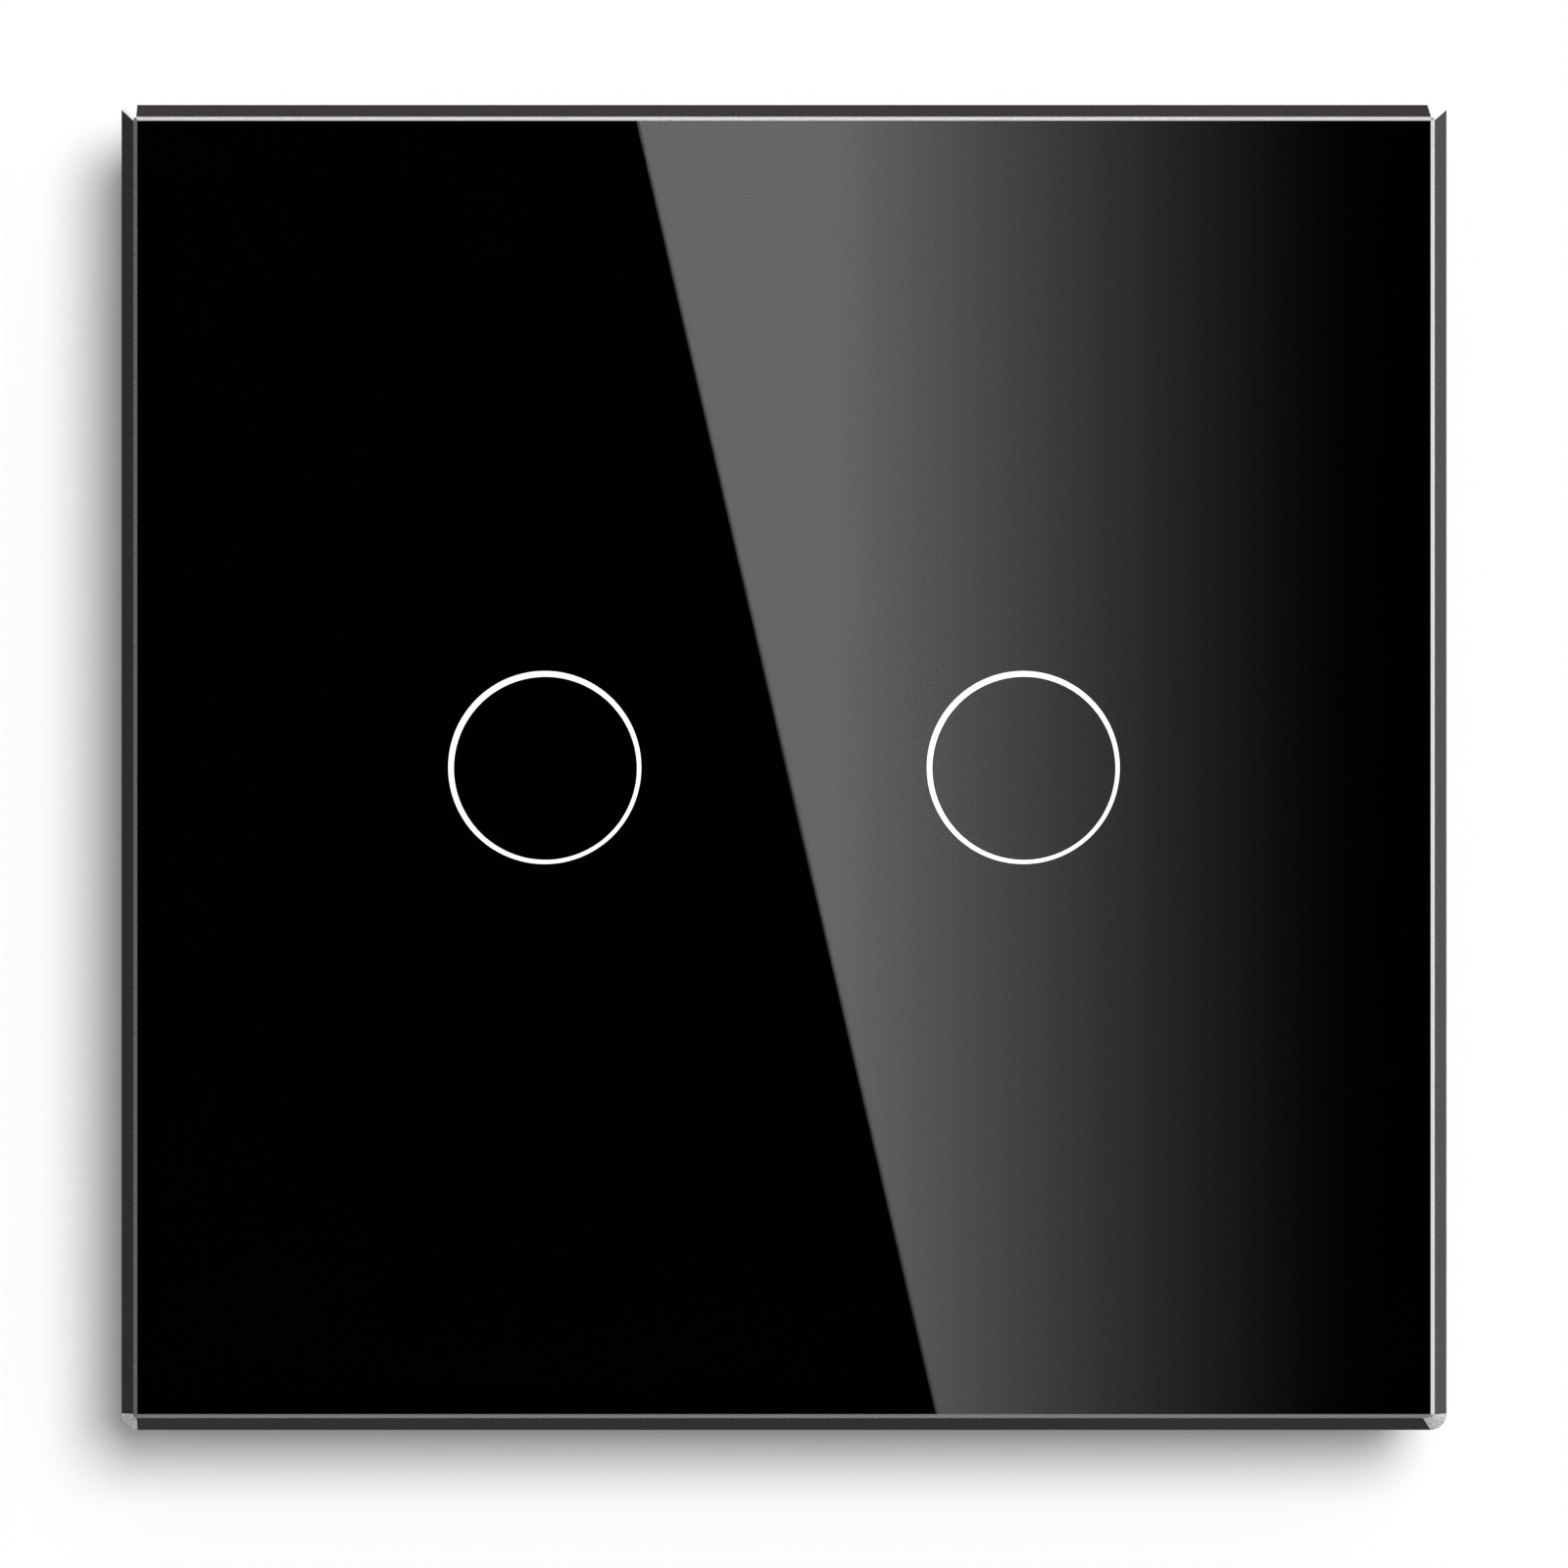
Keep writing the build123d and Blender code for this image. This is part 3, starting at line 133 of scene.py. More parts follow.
def new_group(name, kind, inputs, outputs):
    """An empty node group, the sockets that its inputs give, and the node that takes its results."""
    group = bpy.data.node_groups.new(name, kind + "NodeTree")
    for direction, sockets in (("INPUT", inputs), ("OUTPUT", outputs)):
        for label, holds in sockets.items():
            group.interface.new_socket(label, in_out=direction, socket_type="NodeSocket" + holds)
    return group, group.nodes.new("NodeGroupInput").outputs, group.nodes.new("NodeGroupOutput")


print("node helpers ready")

# %% Helpers that reckon with values, places and colours
def maths(operation, *values, clamp=False):
    """Math nodes on sockets and plain numbers. Each value after the second takes one more node."""
    while len(values) > 2:
        values = (maths(operation, *values[:2]), *values[2:])
    tree = next(value.id_data for value in values if isinstance(value, bpy.types.NodeSocket))
    return fill(add(tree, "ShaderNodeMath", operation=operation, use_clamp=clamp), *values)


plus = partial(maths, "ADD")
minus = partial(maths, "SUBTRACT")
times = partial(maths, "MULTIPLY")
over = partial(maths, "DIVIDE")
power = partial(maths, "POWER")
amount = partial(maths, "ABSOLUTE")
largest = partial(maths, "MAXIMUM")
whole = partial(maths, "FLOOR")
is_above = partial(maths, "GREATER_THAN")
is_below = partial(maths, "LESS_THAN")


def distance(first, second):
    """The distance that two values make at right angles."""
    return maths("SQRT", plus(power(first, 2.0), power(second, 2.0)))


def ramp(source, low, high, to_low=0.0, to_high=1.0):
    """Maps low..high of a value to to_low..to_high, clamped."""
    node = add(source.id_data, "ShaderNodeMapRange", Value=source, From_Min=low, From_Max=high)
    return feed(node, To_Min=to_low, To_Max=to_high).outputs["Result"]


def spread(lumps, to_low=0.0, to_high=1.0):
    """Maps a noise, which mostly lies between 0.3 and 0.7, to a full range."""
    return ramp(lumps, 0.3, 0.7, to_low, to_high)


def mix(factor, first, second, kind="RGBA"):
    """Mixes two colours or, with the kind FLOAT, two numbers."""
    first_input, mixed = {"RGBA": (6, 2), "FLOAT": (2, 0)}[kind]
    node = add(factor.id_data, "ShaderNodeMix", data_type=kind)
    for value, place in ((factor, 0), (first, first_input), (second, first_input + 1)):
        put(value, node.inputs[place])
    return node.outputs[mixed]


def object_place(tree):
    """The place of a point on its own piece, in metres."""
    return add(tree, "ShaderNodeTexCoord").outputs["Object"]


def axes(place):
    """The X, Y and Z of a place."""
    return add(place.id_data, "ShaderNodeSeparateXYZ", Vector=place).outputs


def bump(height, strength, depth):
    """A surface direction that makes a height look raised."""
    return add(height.id_data, "ShaderNodeBump", Strength=strength, Distance=depth, Height=height).outputs[0]


def noise(place, scale, detail=2.0, roughness=0.5):
    """A noise texture's value at a place. Scale is in lumps to the metre."""
    node = add(place.id_data, "ShaderNodeTexNoise", Detail=detail, Roughness=roughness)
    return feed(node, Vector=place, Scale=scale).outputs["Fac"]


finishes = {}


def new_finish(name, colour, roughness, **values):
    """A material with one Principled shader. Gives the place of a point on its piece, and the shader."""
    finishes[name] = bpy.data.materials.new(name)
    tree = empty_tree(finishes[name])
    surface = add(tree, "ShaderNodeBsdfPrincipled", Base_Color=colour, Roughness=roughness, **values)
    add(tree, "ShaderNodeOutputMaterial", Surface=surface.outputs[0])
    return object_place(tree), surface


print("helpers for values ready")

# %% [markdown]
# ## Shared effects as node groups
#
# Moulded plastic is never quite even: the mould is spark-eroded, so it has a fine
# pebbled grain, and the plastic has soft clouds in its gloss. Rolled or pressed
# metal has streaks along one direction. Both effects serve many finishes, so each
# is built once as a group that gives a height and a change of gloss and of shade.

# %% A group for moulded grain
def new_effect(name, inputs, outputs=("Height", "Gloss", "Shade")):
    """An empty shader group that takes a place and some numbers, and gives numbers."""
    inputs = dict.fromkeys(inputs, "Float")
    return new_group(name, "Shader", {**inputs, "Place": "Vector"}, dict.fromkeys(outputs, "Float"))


grain_group, given, result = new_effect("moulded_grain", ("Grain", "Clouds"))
place, grain = given["Place"], given["Grain"]
pits = add(grain_group, "ShaderNodeTexVoronoi", Vector=place, Scale=times(grain, 0.45))
feed(result, Height=plus(noise(place, grain, detail=1.0), times(pits.outputs["Distance"], 0.5)),
     Gloss=spread(noise(place, given["Clouds"], detail=3.0), -0.5, 0.5),
     Shade=spread(noise(place, 220.0, detail=4.0), -0.5, 0.5))
print("group", grain_group.name, "with", len(grain_group.nodes), "nodes")

# %% A group for rolled and brushed metal
streak_group, given, result = new_effect("rolled_streaks", ("Fineness", "Length"))
x, y, z = axes(given["Place"])
drawn_out = add(streak_group, "ShaderNodeCombineXYZ", X=x, Y=y, Z=times(z, given["Length"]))
streaks = noise(drawn_out.outputs[0], given["Fineness"], detail=4.0, roughness=0.6)
feed(result, Height=streaks, Gloss=spread(streaks, -0.5, 0.5),
     Shade=spread(noise(given["Place"], 90.0, detail=3.0), -0.5, 0.5))
print("group", streak_group.name, "with", len(streak_group.nodes), "nodes")

# %% Put the groups to work in a finish
def grained(name, colour, gloss, swing, shades, relief, depth, group, metallic, **values):
    """A finish where Shade mixes two colours, Gloss moves the roughness and Height makes a bump."""
    place, surface = new_finish(name, colour, gloss, Metallic=metallic)
    effect = add(surface.id_data, "ShaderNodeGroup", node_tree=group, Place=place, **values).outputs
    dark = tuple(c * (1 - shades) for c in colour)
    light = tuple(min(c * (1 + shades), 1.0) for c in colour)
    feed(surface, Base_Color=mix(plus(effect["Shade"], 0.5, clamp=True), dark, light),
         Roughness=plus(times(effect["Gloss"], swing), gloss, clamp=True),
         Normal=bump(effect["Height"], relief, depth))


def plastic(name, colour, gloss, swing=0.06, shades=0.06, grain=4000.0, relief=0.12, depth=0.00002):
    """A moulded plastic: grain, soft clouds of gloss and a slight change of shade."""
    grained(name, colour, gloss, swing, shades, relief, depth, grain_group, 0.0, Grain=grain, Clouds=60.0)


def metal(name, colour, gloss, swing=0.12, shades=0.08, fineness=2500.0, length=0.03, relief=0.08):
    """A rolled or plated metal with fine streaks."""
    grained(name, colour, gloss, swing, shades, relief, 0.00001, streak_group, 1.0,
            Fineness=fineness, Length=length)


print("finish makers ready")

# %% [markdown]
# ## The glass
#
# The face is a 4 mm sheet of clear polished glass, so its black comes from the
# coat printed behind it. Round the face runs a 45 degree bevel, and where face and
# bevel meet the sharp edge is taken off by a narrow ground line. The corners are
# ground too and stay matt and pale. The sheet could stay as measured, but then the
# ground parts would need a mask; it is drawn again here from the same sizes as a
# stack of rounded squares, so that each band of faces can carry its own finish.

# %% Clear glass, ground line and ground corner
place, surface = new_finish("polished_glass", (0.985, 0.992, 0.988), 0.0, Transmission_Weight=1.0, IOR=1.52)
feed(surface, Roughness=ramp(noise(place, 35.0, detail=3.0), 0.55, 0.8, 0.0, 0.012))

place, surface = new_finish("ground_line", 0.48, 0.3, Metallic=1.0)
speckle = noise(place, 7000.0)
feed(surface, Roughness=spread(speckle, 0.24, 0.36), Base_Color=mix(speckle, 0.43, 0.53))

place, surface = new_finish("ground_corner", (0.86, 0.87, 0.87), 0.5, IOR=1.52)
speckle = noise(place, 7000.0)
# The lower two corners are a darker speckled grey and the upper two white. This is painted shade: the lower
# corners lie in the wall's shadow and turn away from the key lamp.
painted_shade_grey = mix(ramp(speckle, 0.35, 0.65), 0.42, 0.66)
unshaded_white = mix(speckle, 0.93, 1.0)
feed(surface, Roughness=spread(speckle, 0.42, 0.58),
     Base_Color=mix(ramp(axes(place)["Z"], -MM, MM), painted_shade_grey, unshaded_white))
print("three glass finishes")

# %% Helpers for meshes and objects
def placed(name, data):
    """A new object of the scene."""
    thing = bpy.data.objects.new(name, data)
    bpy.context.scene.collection.objects.link(thing)
    return thing


def mesh_from(name, shape):
    """The mesh of a bmesh, which is freed."""
    bmesh.ops.recalc_face_normals(shape, faces=shape.faces)
    mesh = bpy.data.meshes.new(name)
    shape.to_mesh(mesh)
    shape.free()
    return mesh


def shaped(name, shape):
    """A new object of the scene from a bmesh."""
    return placed(name, mesh_from(name, shape))


def made_mesh(holder):
    """The plain mesh that an object's modifiers or letters make. The object is removed."""
    bpy.context.view_layer.update()
    evaluated = holder.evaluated_get(bpy.context.evaluated_depsgraph_get())
    mesh = bpy.data.meshes.new_from_object(evaluated)
    bpy.data.objects.remove(holder)
    return mesh


def finish_mesh(name, mesh, wears, body, slot, *stands_for, smooth=30.0):
    """Puts a mesh into the scene as a piece with its finishes and body, and hides the nodes that it replaces.
    The slot is not used.
    """
    piece = placed(name, mesh)
    for finish in wears:
        mesh.materials.append(finishes[finish])
    mesh.shade_smooth()
    mesh.set_sharp_from_angle(angle=math.radians(smooth))
    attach(piece, body)
    if stands_for:
        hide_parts(*stands_for)
    print(name, "has", len(mesh.polygons), "faces")


CORNER_STEPS = 12


def square_outline(half, corners):
    """Points (x, z) of a square, each corner rounded by its own width and height.

    Comes with True for each point whose span to the next one belongs to a corner."""
    points = []
    signs = ((1, 1), (-1, 1), (-1, -1), (1, -1))
    for quarter, ((wide, tall), (east, north)) in enumerate(zip(corners, signs)):
        start = quarter % 2
        for step in range(CORNER_STEPS + 1):
            angle = abs(start - step / CORNER_STEPS) * math.pi / 2
            x = east * (half - wide + wide * math.cos(angle))
            z = north * (half - tall + tall * math.sin(angle))
            points.append((Vector((x, z)), step < CORNER_STEPS))
    return points


print("mesh helpers ready")

# %% The sheet of glass
FACE_HALF = 38.98 * MM
LINE_HALF = 39.223 * MM
LINE_DEPTH = 0.113 * MM
BEVEL_DEPTH = 0.89 * MM
BACK_EDGE = 0.3 * MM
SHARP = [(0.03 * MM, 0.03 * MM)] * 4
HAND_GROUND = [(1.15 * MM, 0.3 * MM), (0.95 * MM, 0.3 * MM), (0.98 * MM, 1.0 * MM), (0.96 * MM, 1.0 * MM)]
GROUND_INSIDE = [(0.22 * MM, 0.21 * MM), (0.17 * MM, 0.25 * MM), (0.2 * MM, 0.25 * MM), (0.7 * MM, 0.22 * MM)]
LINE, CORNER = 1, 2
PANEL = "glass_panel_assembly"
stack = (
    (FACE_HALF, SHARP, GLASS_FRONT),
    (LINE_HALF, GROUND_INSIDE, GLASS_FRONT + LINE_DEPTH),
    (GLASS_HALF, HAND_GROUND, GLASS_FRONT + BEVEL_DEPTH),
    (GLASS_HALF, HAND_GROUND, GLASS_BACK - BACK_EDGE),
    (GLASS_HALF - BACK_EDGE, GROUND_INSIDE, GLASS_BACK),
)
sheet = bmesh.new()
loops = []
for half, corners, depth in stack:
    outline = square_outline(half, corners)
    loops.append([sheet.verts.new((spot.x, depth, spot.y)) for spot, _ in outline])
sheet.faces.new(loops[0])
sheet.faces.new(list(reversed(loops[-1])))
for level, (near, far) in enumerate(zip(loops, loops[1:])):
    for i, (_, in_corner) in enumerate(outline):
        after = (i + 1) % len(outline)
        face = sheet.faces.new((near[i], near[after], far[after], far[i]))
        if level == 0:
            face.material_index = LINE
        elif level == 1 and in_corner:
            face.material_index = CORNER
finish_mesh("glass_sheet", mesh_from("glass_sheet", sheet),
            ("polished_glass", "ground_line", "ground_corner"), PANEL, "glass", "glass_panel", smooth=12.0)

# %% [markdown]
# ## The black coat and the two white rings
#
# The coat is printed on the back of the glass, and two thin rings of white ink
# are printed in the gaps left for them. A lamp sits behind each ring. The ink's
# white glow is partly that lamp and partly painted light, which stands in for
# the room's light that the glass keeps from the ink. The ink wets the glass, so
# there is no air gap: the coat is drawn a hair into the glass, with no gloss of
# its own, and only the front of the glass mirrors.

# %% Ink finishes
place, surface = new_finish("black_coat", 0.002, 0.9, Specular_IOR_Level=0.0)
pinholes = spread(noise(place, 3000.0, detail=1.0))
feed(surface, Base_Color=mix(pinholes, (0.0012, 0.0012, 0.0013), 0.003))

# The ink's white glow is partly the lamp behind the ring and partly painted light. It is strong enough to
# stand in for the room's light, which the glass keeps from the ink.
place, surface = new_finish("white_ink", (0.93, 0.93, 0.92), 0.6,
                            Specular_IOR_Level=0.0, Emission_Strength=1.1)
mottle = noise(place, 1500.0)
feed(surface, Emission_Color=mix(mottle, 1.0, (0.94, 0.95, 0.96)),
     Base_Color=mix(mottle, (0.95, 0.95, 0.94), 0.88))
print("ink finishes ready")

# %% Rings and coat as thin plates
RING_STEPS = 160
RING_OUTER = 5.85 * MM
RING_INNER = 5.55 * MM
RING_SHIFT = Vector((0.04, -0.05)) * MM
INK_INTO_GLASS = 0.02 * MM


def circle(centre, radius, steps=RING_STEPS):
    angles = [2 * math.pi * i / steps for i in range(steps)]
    return [centre + radius * Vector((math.cos(a), math.sin(a))) for a in angles]


def print_plate(name, outlines, ink, slot, *stands_for):
    """A thin print from outlines (x, z): the first is its edge and the others are holes in it."""
    front = GLASS_BACK - INK_INTO_GLASS
    shape = bmesh.new()
    edges = []
    for outline in outlines:
        ring = [shape.verts.new((p.x, front, p.y)) for p in outline]
        edges += [shape.edges.new((ring[i - 1], ring[i])) for i in range(len(ring))]
    bmesh.ops.triangle_fill(shape, use_beauty=True, edges=edges, normal=(0, -1, 0))
    made = bmesh.ops.extrude_face_region(shape, geom=list(shape.faces))
    moved = [item for item in made["geom"] if isinstance(item, bmesh.types.BMVert)]
    bmesh.ops.translate(shape, verts=moved, vec=(0, COAT_BACK - front, 0))
    finish_mesh(name, mesh_from(name, shape), (ink,), PANEL, slot, *stands_for)


coat_half = GLASS_HALF - BACK_EDGE
coat_outlines = [[coat_half * Vector(signs) for signs in ((-1, -1), (1, -1), (1, 1), (-1, 1))]]
for side, x in zip(SIDES, (-RING_X, RING_X)):
    middle = Vector((x, 0.0))
    outer = circle(middle, RING_OUTER)
    inner = circle(middle + RING_SHIFT, RING_INNER)
    coat_outlines.append(outer)
    print_plate(f"glowing_ring_{side}", [outer, inner], "white_ink", "white_ink", f"touch_ring_{side}")
    print_plate(f"coat_disc_{side}", [inner], "black_coat", "black_ink")
print_plate("black_coat", coat_outlines, "black_coat", "black_ink", "black_backing")

# %% [markdown]
# ## Finishes for the measured pieces
#
# The other pieces keep their measured shape and only get a finish. Each has its
# own: satin black ABS for the frame, white and grey mouldings, zinc-plated steel
# with its faint streaks, green circuit board, blue relay cases and brass.

# %% Plastics and metals
plastic("foam_tape", (0.82, 0.82, 0.8), 0.85, shades=0.1, grain=1500.0, relief=0.5, depth=0.00008)
plastic("satin_black_plastic", (0.02, 0.02, 0.021), 0.42)
plastic("white_moulding", (0.78, 0.78, 0.76), 0.4, shades=0.02)
plastic("grey_moulding", (0.3, 0.31, 0.32), 0.5, shades=0.05, grain=3200.0, relief=0.2)
plastic("relay_case_blue", (0.03, 0.12, 0.42), 0.3, swing=0.05)
plastic("terminal_green", (0.02, 0.2, 0.09), 0.38)
metal("zinc_plated_steel", (0.6, 0.61, 0.63), 0.34, swing=0.22, shades=0.16, relief=0.25)
metal("screw_steel", (0.62, 0.62, 0.64), 0.24, fineness=4000.0, length=0.3)
metal("nickel_plated_iron", (0.55, 0.54, 0.52), 0.3, fineness=3500.0, length=0.2)
metal("brass", (0.75, 0.58, 0.28), 0.28, fineness=3500.0)
print(len(finishes), "finishes so far")

# %% A group for the tracks of a circuit board
def chance(first, second):
    """A steady random value from 0 to 1 for each pair of whole numbers."""
    pair = add(first.id_data, "ShaderNodeCombineXYZ", X=first, Y=second).outputs[0]
    source = add(first.id_data, "ShaderNodeTexWhiteNoise", noise_dimensions="2D", Vector=pair)
    return source.outputs["Value"]


def from_middle(value):
    """How far a value is from the middle of its own whole step."""
    return amount(minus(maths("FRACT", value), 0.5))


track_group, given, result = new_effect("circuit_tracks", ("Pitch", "Width"), ("Copper", "Hole"))
x, _, z = axes(given["Place"])
u = over(x, given["Pitch"])
v = over(z, given["Pitch"])
tracks = []
for across, along, length, empty in ((v, u, 7.0, 0.45), (u, v, 5.0, 0.62)):
    row = whole(across)
    stretch = whole(plus(over(along, length), times(row, 0.37)))
    laid = is_above(chance(plus(row, length * 11.0), stretch), empty)
    tracks.append(times(laid, is_below(from_middle(across), given["Width"])))
spot = distance(from_middle(u), from_middle(v))
drilled = is_above(chance(whole(u), whole(v)), 0.93)
feed(result, Copper=largest(*tracks, times(drilled, is_below(spot, 0.36))),
     Hole=times(drilled, is_below(spot, 0.14)))
print("group", track_group.name, "with", len(track_group.nodes), "nodes")

# %% Circuit board, with its tracks, its white print and its bare edge
def circuit_board(name, pitch, width, print_boxes):
    """Green lacquer over copper tracks on both faces, white outlines, and bare glass fibre on the edge.

    A print box is its middle (x, z) and its half width and half height, in mm."""
    place, surface = new_finish(name, (0.01, 0.14, 0.05), 0.3)
    tree = surface.id_data
    laid = add(tree, "ShaderNodeGroup", node_tree=track_group, Place=place, Pitch=pitch, Width=width).outputs
    colour = mix(noise(place, 900.0), (0.006, 0.09, 0.034), (0.009, 0.12, 0.045))
    colour = mix(laid["Copper"], colour, (0.02, 0.2, 0.075))
    colour = mix(laid["Hole"], colour, (0.003, 0.02, 0.01))
    x, _, z = axes(place)
    for middle_x, middle_z, half_wide, half_tall in print_boxes:
        out_x = minus(amount(minus(x, middle_x * MM)), half_wide * MM)
        out_z = minus(amount(minus(z, middle_z * MM)), half_tall * MM)
        on_line = is_below(amount(largest(out_x, out_z)), 0.08 * MM)
        colour = mix(on_line, colour, (0.8, 0.82, 0.8))
    facing = axes(add(tree, "ShaderNodeNewGeometry").outputs["Normal"])
    flat_face = ramp(amount(facing["Y"]), 0.4, 0.6)
    fibre = mix(noise(place, 5000.0), (0.42, 0.36, 0.16), (0.55, 0.48, 0.24))
    feed(surface, Base_Color=mix(flat_face, fibre, colour), Roughness=ramp(flat_face, 0.0, 1.0, 0.75, 0.3),
         Normal=bump(times(laid["Copper"], flat_face), 0.3, 0.00003))


touch_prints = ((0, -15, 5.6, 3.9), (-14.5, 0, 2.2, 1.9), (14.5, 0, 2.2, 1.9))
power_prints = ((0, -0.5, 3.4, 6.9), (6, 16.5, 4.3, 4.3))
circuit_board("touch_circuit_board", 1.27 * MM, 0.16, touch_prints)
circuit_board("power_circuit_board", 2.54 * MM, 0.3, power_prints)
print("two circuit boards")

# %% Lamp, light guide and wound wire
# The lamp is a white body with a round yellow lens at its ring's centre.
place, surface = new_finish("lamp_body", (0.85, 0.85, 0.83), 0.35)
x, _, z = axes(place)
lens = ramp(distance(minus(amount(x), RING_X), z), 1.2 * MM, 1.15 * MM)
phosphor = mix(noise(place, 5000.0), (0.8, 0.62, 0.12), (0.9, 0.74, 0.2))
feed(surface, Base_Color=mix(lens, (0.85, 0.85, 0.83), phosphor), Roughness=ramp(lens, 0.0, 1.0, 0.35, 0.12))

# The guide is clear acrylic, a little clouded, so that it spreads the light round the ring.
place, surface = new_finish("clouded_acrylic", (0.94, 0.95, 0.95), 0.25, Transmission_Weight=0.8, IOR=1.49)
feed(surface, Roughness=spread(noise(place, 1800.0), 0.18, 0.34))

# The wire is copper under a clear varnish whose shade drifts along it.
place, surface = new_finish("enamelled_copper", (0.6, 0.22, 0.08), 0.25,
                            Metallic=1.0, Coat_Weight=0.6, Coat_Roughness=0.1)
drift = noise(place, 700.0, detail=3.0)
feed(surface, Base_Color=mix(spread(drift), (0.42, 0.13, 0.04), (0.7, 0.27, 0.1)),
     Roughness=spread(drift, 0.34, 0.2))
print("lamp, guide and wire finishes")

# %% Parts with tinned leads
def worn_by(name):
    """A finish's shader, and what its colour, roughness and metallic are now."""
    surface = next(node for node in finishes[name].node_tree.nodes if node.type == "BSDF_PRINCIPLED")
    sockets = [surface.inputs[name] for name in ("Base Color", "Roughness", "Metallic")]
    return surface, [s.links[0].from_socket if s.links else s.default_value for s in sockets]


def add_metal(name, *rules):
    """Turns a finish to tinned metal wherever one of its rules holds.

    A rule is an axis, a middle and a distance. "X" is metal past the middle by the distance,
    "-X" is metal before it, and "|X|" is metal farther away from it than the distance."""
    surface, (colour, roughness, metallic) = worn_by(name)
    place = object_place(surface.id_data)
    parts = axes(place)
    here = []
    for axis, middle, far in rules:
        along = minus(parts[axis.strip("-|")], middle)
        if axis.startswith("|"):
            along = amount(along)
        if axis.startswith("-"):
            along = times(along, -1.0)
        here.append(is_above(along, far))
    here = largest(*here) if len(here) > 1 else here[0]
    tin = mix(noise(place, 2500.0), (0.6, 0.6, 0.58), (0.74, 0.74, 0.72))
    feed(surface, Base_Color=mix(here, colour, tin), Roughness=mix(here, roughness, 0.28, "FLOAT"),
         Metallic=mix(here, metallic, 1.0, "FLOAT"))


def chip(name, dot_x, dot_z, *rules):
    """Matt black moulding with tinned legs, and a small polished dot beside the first leg."""
    plastic(name, (0.025, 0.025, 0.027), 0.6, grain=6000.0)
    surface, (colour, roughness, _) = worn_by(name)
    x, _, z = axes(object_place(surface.id_data))
    dot = is_below(distance(minus(x, dot_x), minus(z, dot_z)), 0.36 * MM)
    feed(surface, Base_Color=mix(dot, colour, (0.075, 0.075, 0.078)),
         Roughness=minus(roughness, times(dot, 0.3)))
    add_metal(name, *rules)


LEGS_FROM = 1.97 * MM
plastic("film_box", (0.62, 0.42, 0.08), 0.38)
add_metal("film_box", ("-Y", BOARD_BACK, 0.0))
plastic("disc_lacquer", (0.05, 0.14, 0.4), 0.25, shades=0.12, grain=900.0, relief=0.3, depth=0.00005)
add_metal("disc_lacquer", ("-Y", BOARD_BACK, -1.0 * MM))
plastic("header_plastic", (0.02, 0.02, 0.021), 0.45)
add_metal("header_plastic", ("Y", BOARD_BACK, 0.0))
chip_z = box_of("touch_controller")[1].z
chip("touch_chip_moulding", -4.1 * MM, chip_z - 1.1 * MM, ("|Z|", chip_z, LEGS_FROM))
bridge_top = box_of("bridge_rectifier")[2].z
chip("bridge_moulding", -1.2 * MM, bridge_top - 0.8 * MM, ("|X|", 0.0, LEGS_FROM))
print(len(finishes), "finishes so far")

# %% Capacitor can and banded resistor
# The can has a dark shrunk sleeve with a pale stripe down one side, a bare top and bare leads.
CAN_FOOT = 11.4 * MM
place, surface = new_finish("can_sleeve", (0.03, 0.05, 0.12), 0.3)
x, y, z = axes(place)
_, middle, high = box_of("electrolytic_capacitor")
sleeve = mix(noise(place, 600.0), (0.012, 0.02, 0.05), (0.02, 0.032, 0.075))
striped = mix(ramp(x, middle.x + 3.1 * MM, middle.x + 3.2 * MM), sleeve, (0.55, 0.57, 0.6))
near_axis = is_below(distance(minus(x, middle.x), minus(z, middle.z)), 3.5 * MM)
top = times(is_above(y, high.y - 0.2 * MM), near_axis)
bare = plus(top, is_below(y, CAN_FOOT), clamp=True)
feed(surface, Base_Color=mix(bare, striped, (0.72, 0.73, 0.74)), Metallic=bare,
     Roughness=ramp(bare, 0.0, 1.0, 0.24, 0.34))

# The resistor is tan between metal caps, with four generic colour bands round it.
CAPS_FROM = 3.55 * MM
RESISTOR_MIDDLE = 15.7 * MM
RETURN_LEAD = 16.4 * MM
BANDS = {14.3: (0.3, 0.12, 0.04), 15.3: 0.02, 16.2: (0.35, 0.03, 0.02), 18.6: (0.5, 0.35, 0.08)}
place, surface = new_finish("banded_resistor", (0.5, 0.42, 0.28), 0.35)
colour = mix(noise(place, 900.0), (0.46, 0.38, 0.25), (0.56, 0.47, 0.32))
y = axes(place)["Y"]
for centre, paint in BANDS.items():
    colour = mix(is_below(amount(minus(y, centre * MM)), 0.24 * MM), colour, paint)
feed(surface, Base_Color=colour, Roughness=spread(noise(place, 400.0), 0.28, 0.42))
add_metal("banded_resistor", ("|Y|", RESISTOR_MIDDLE, CAPS_FROM), ("Z", RETURN_LEAD, 0.0))
print(len(finishes), "finishes")

# %% Give each measured piece its finish
def both(*parts):
    """The names of parts that there are on the left and on the right."""
    return [f"{part}_{side}" for part in parts for side in SIDES]


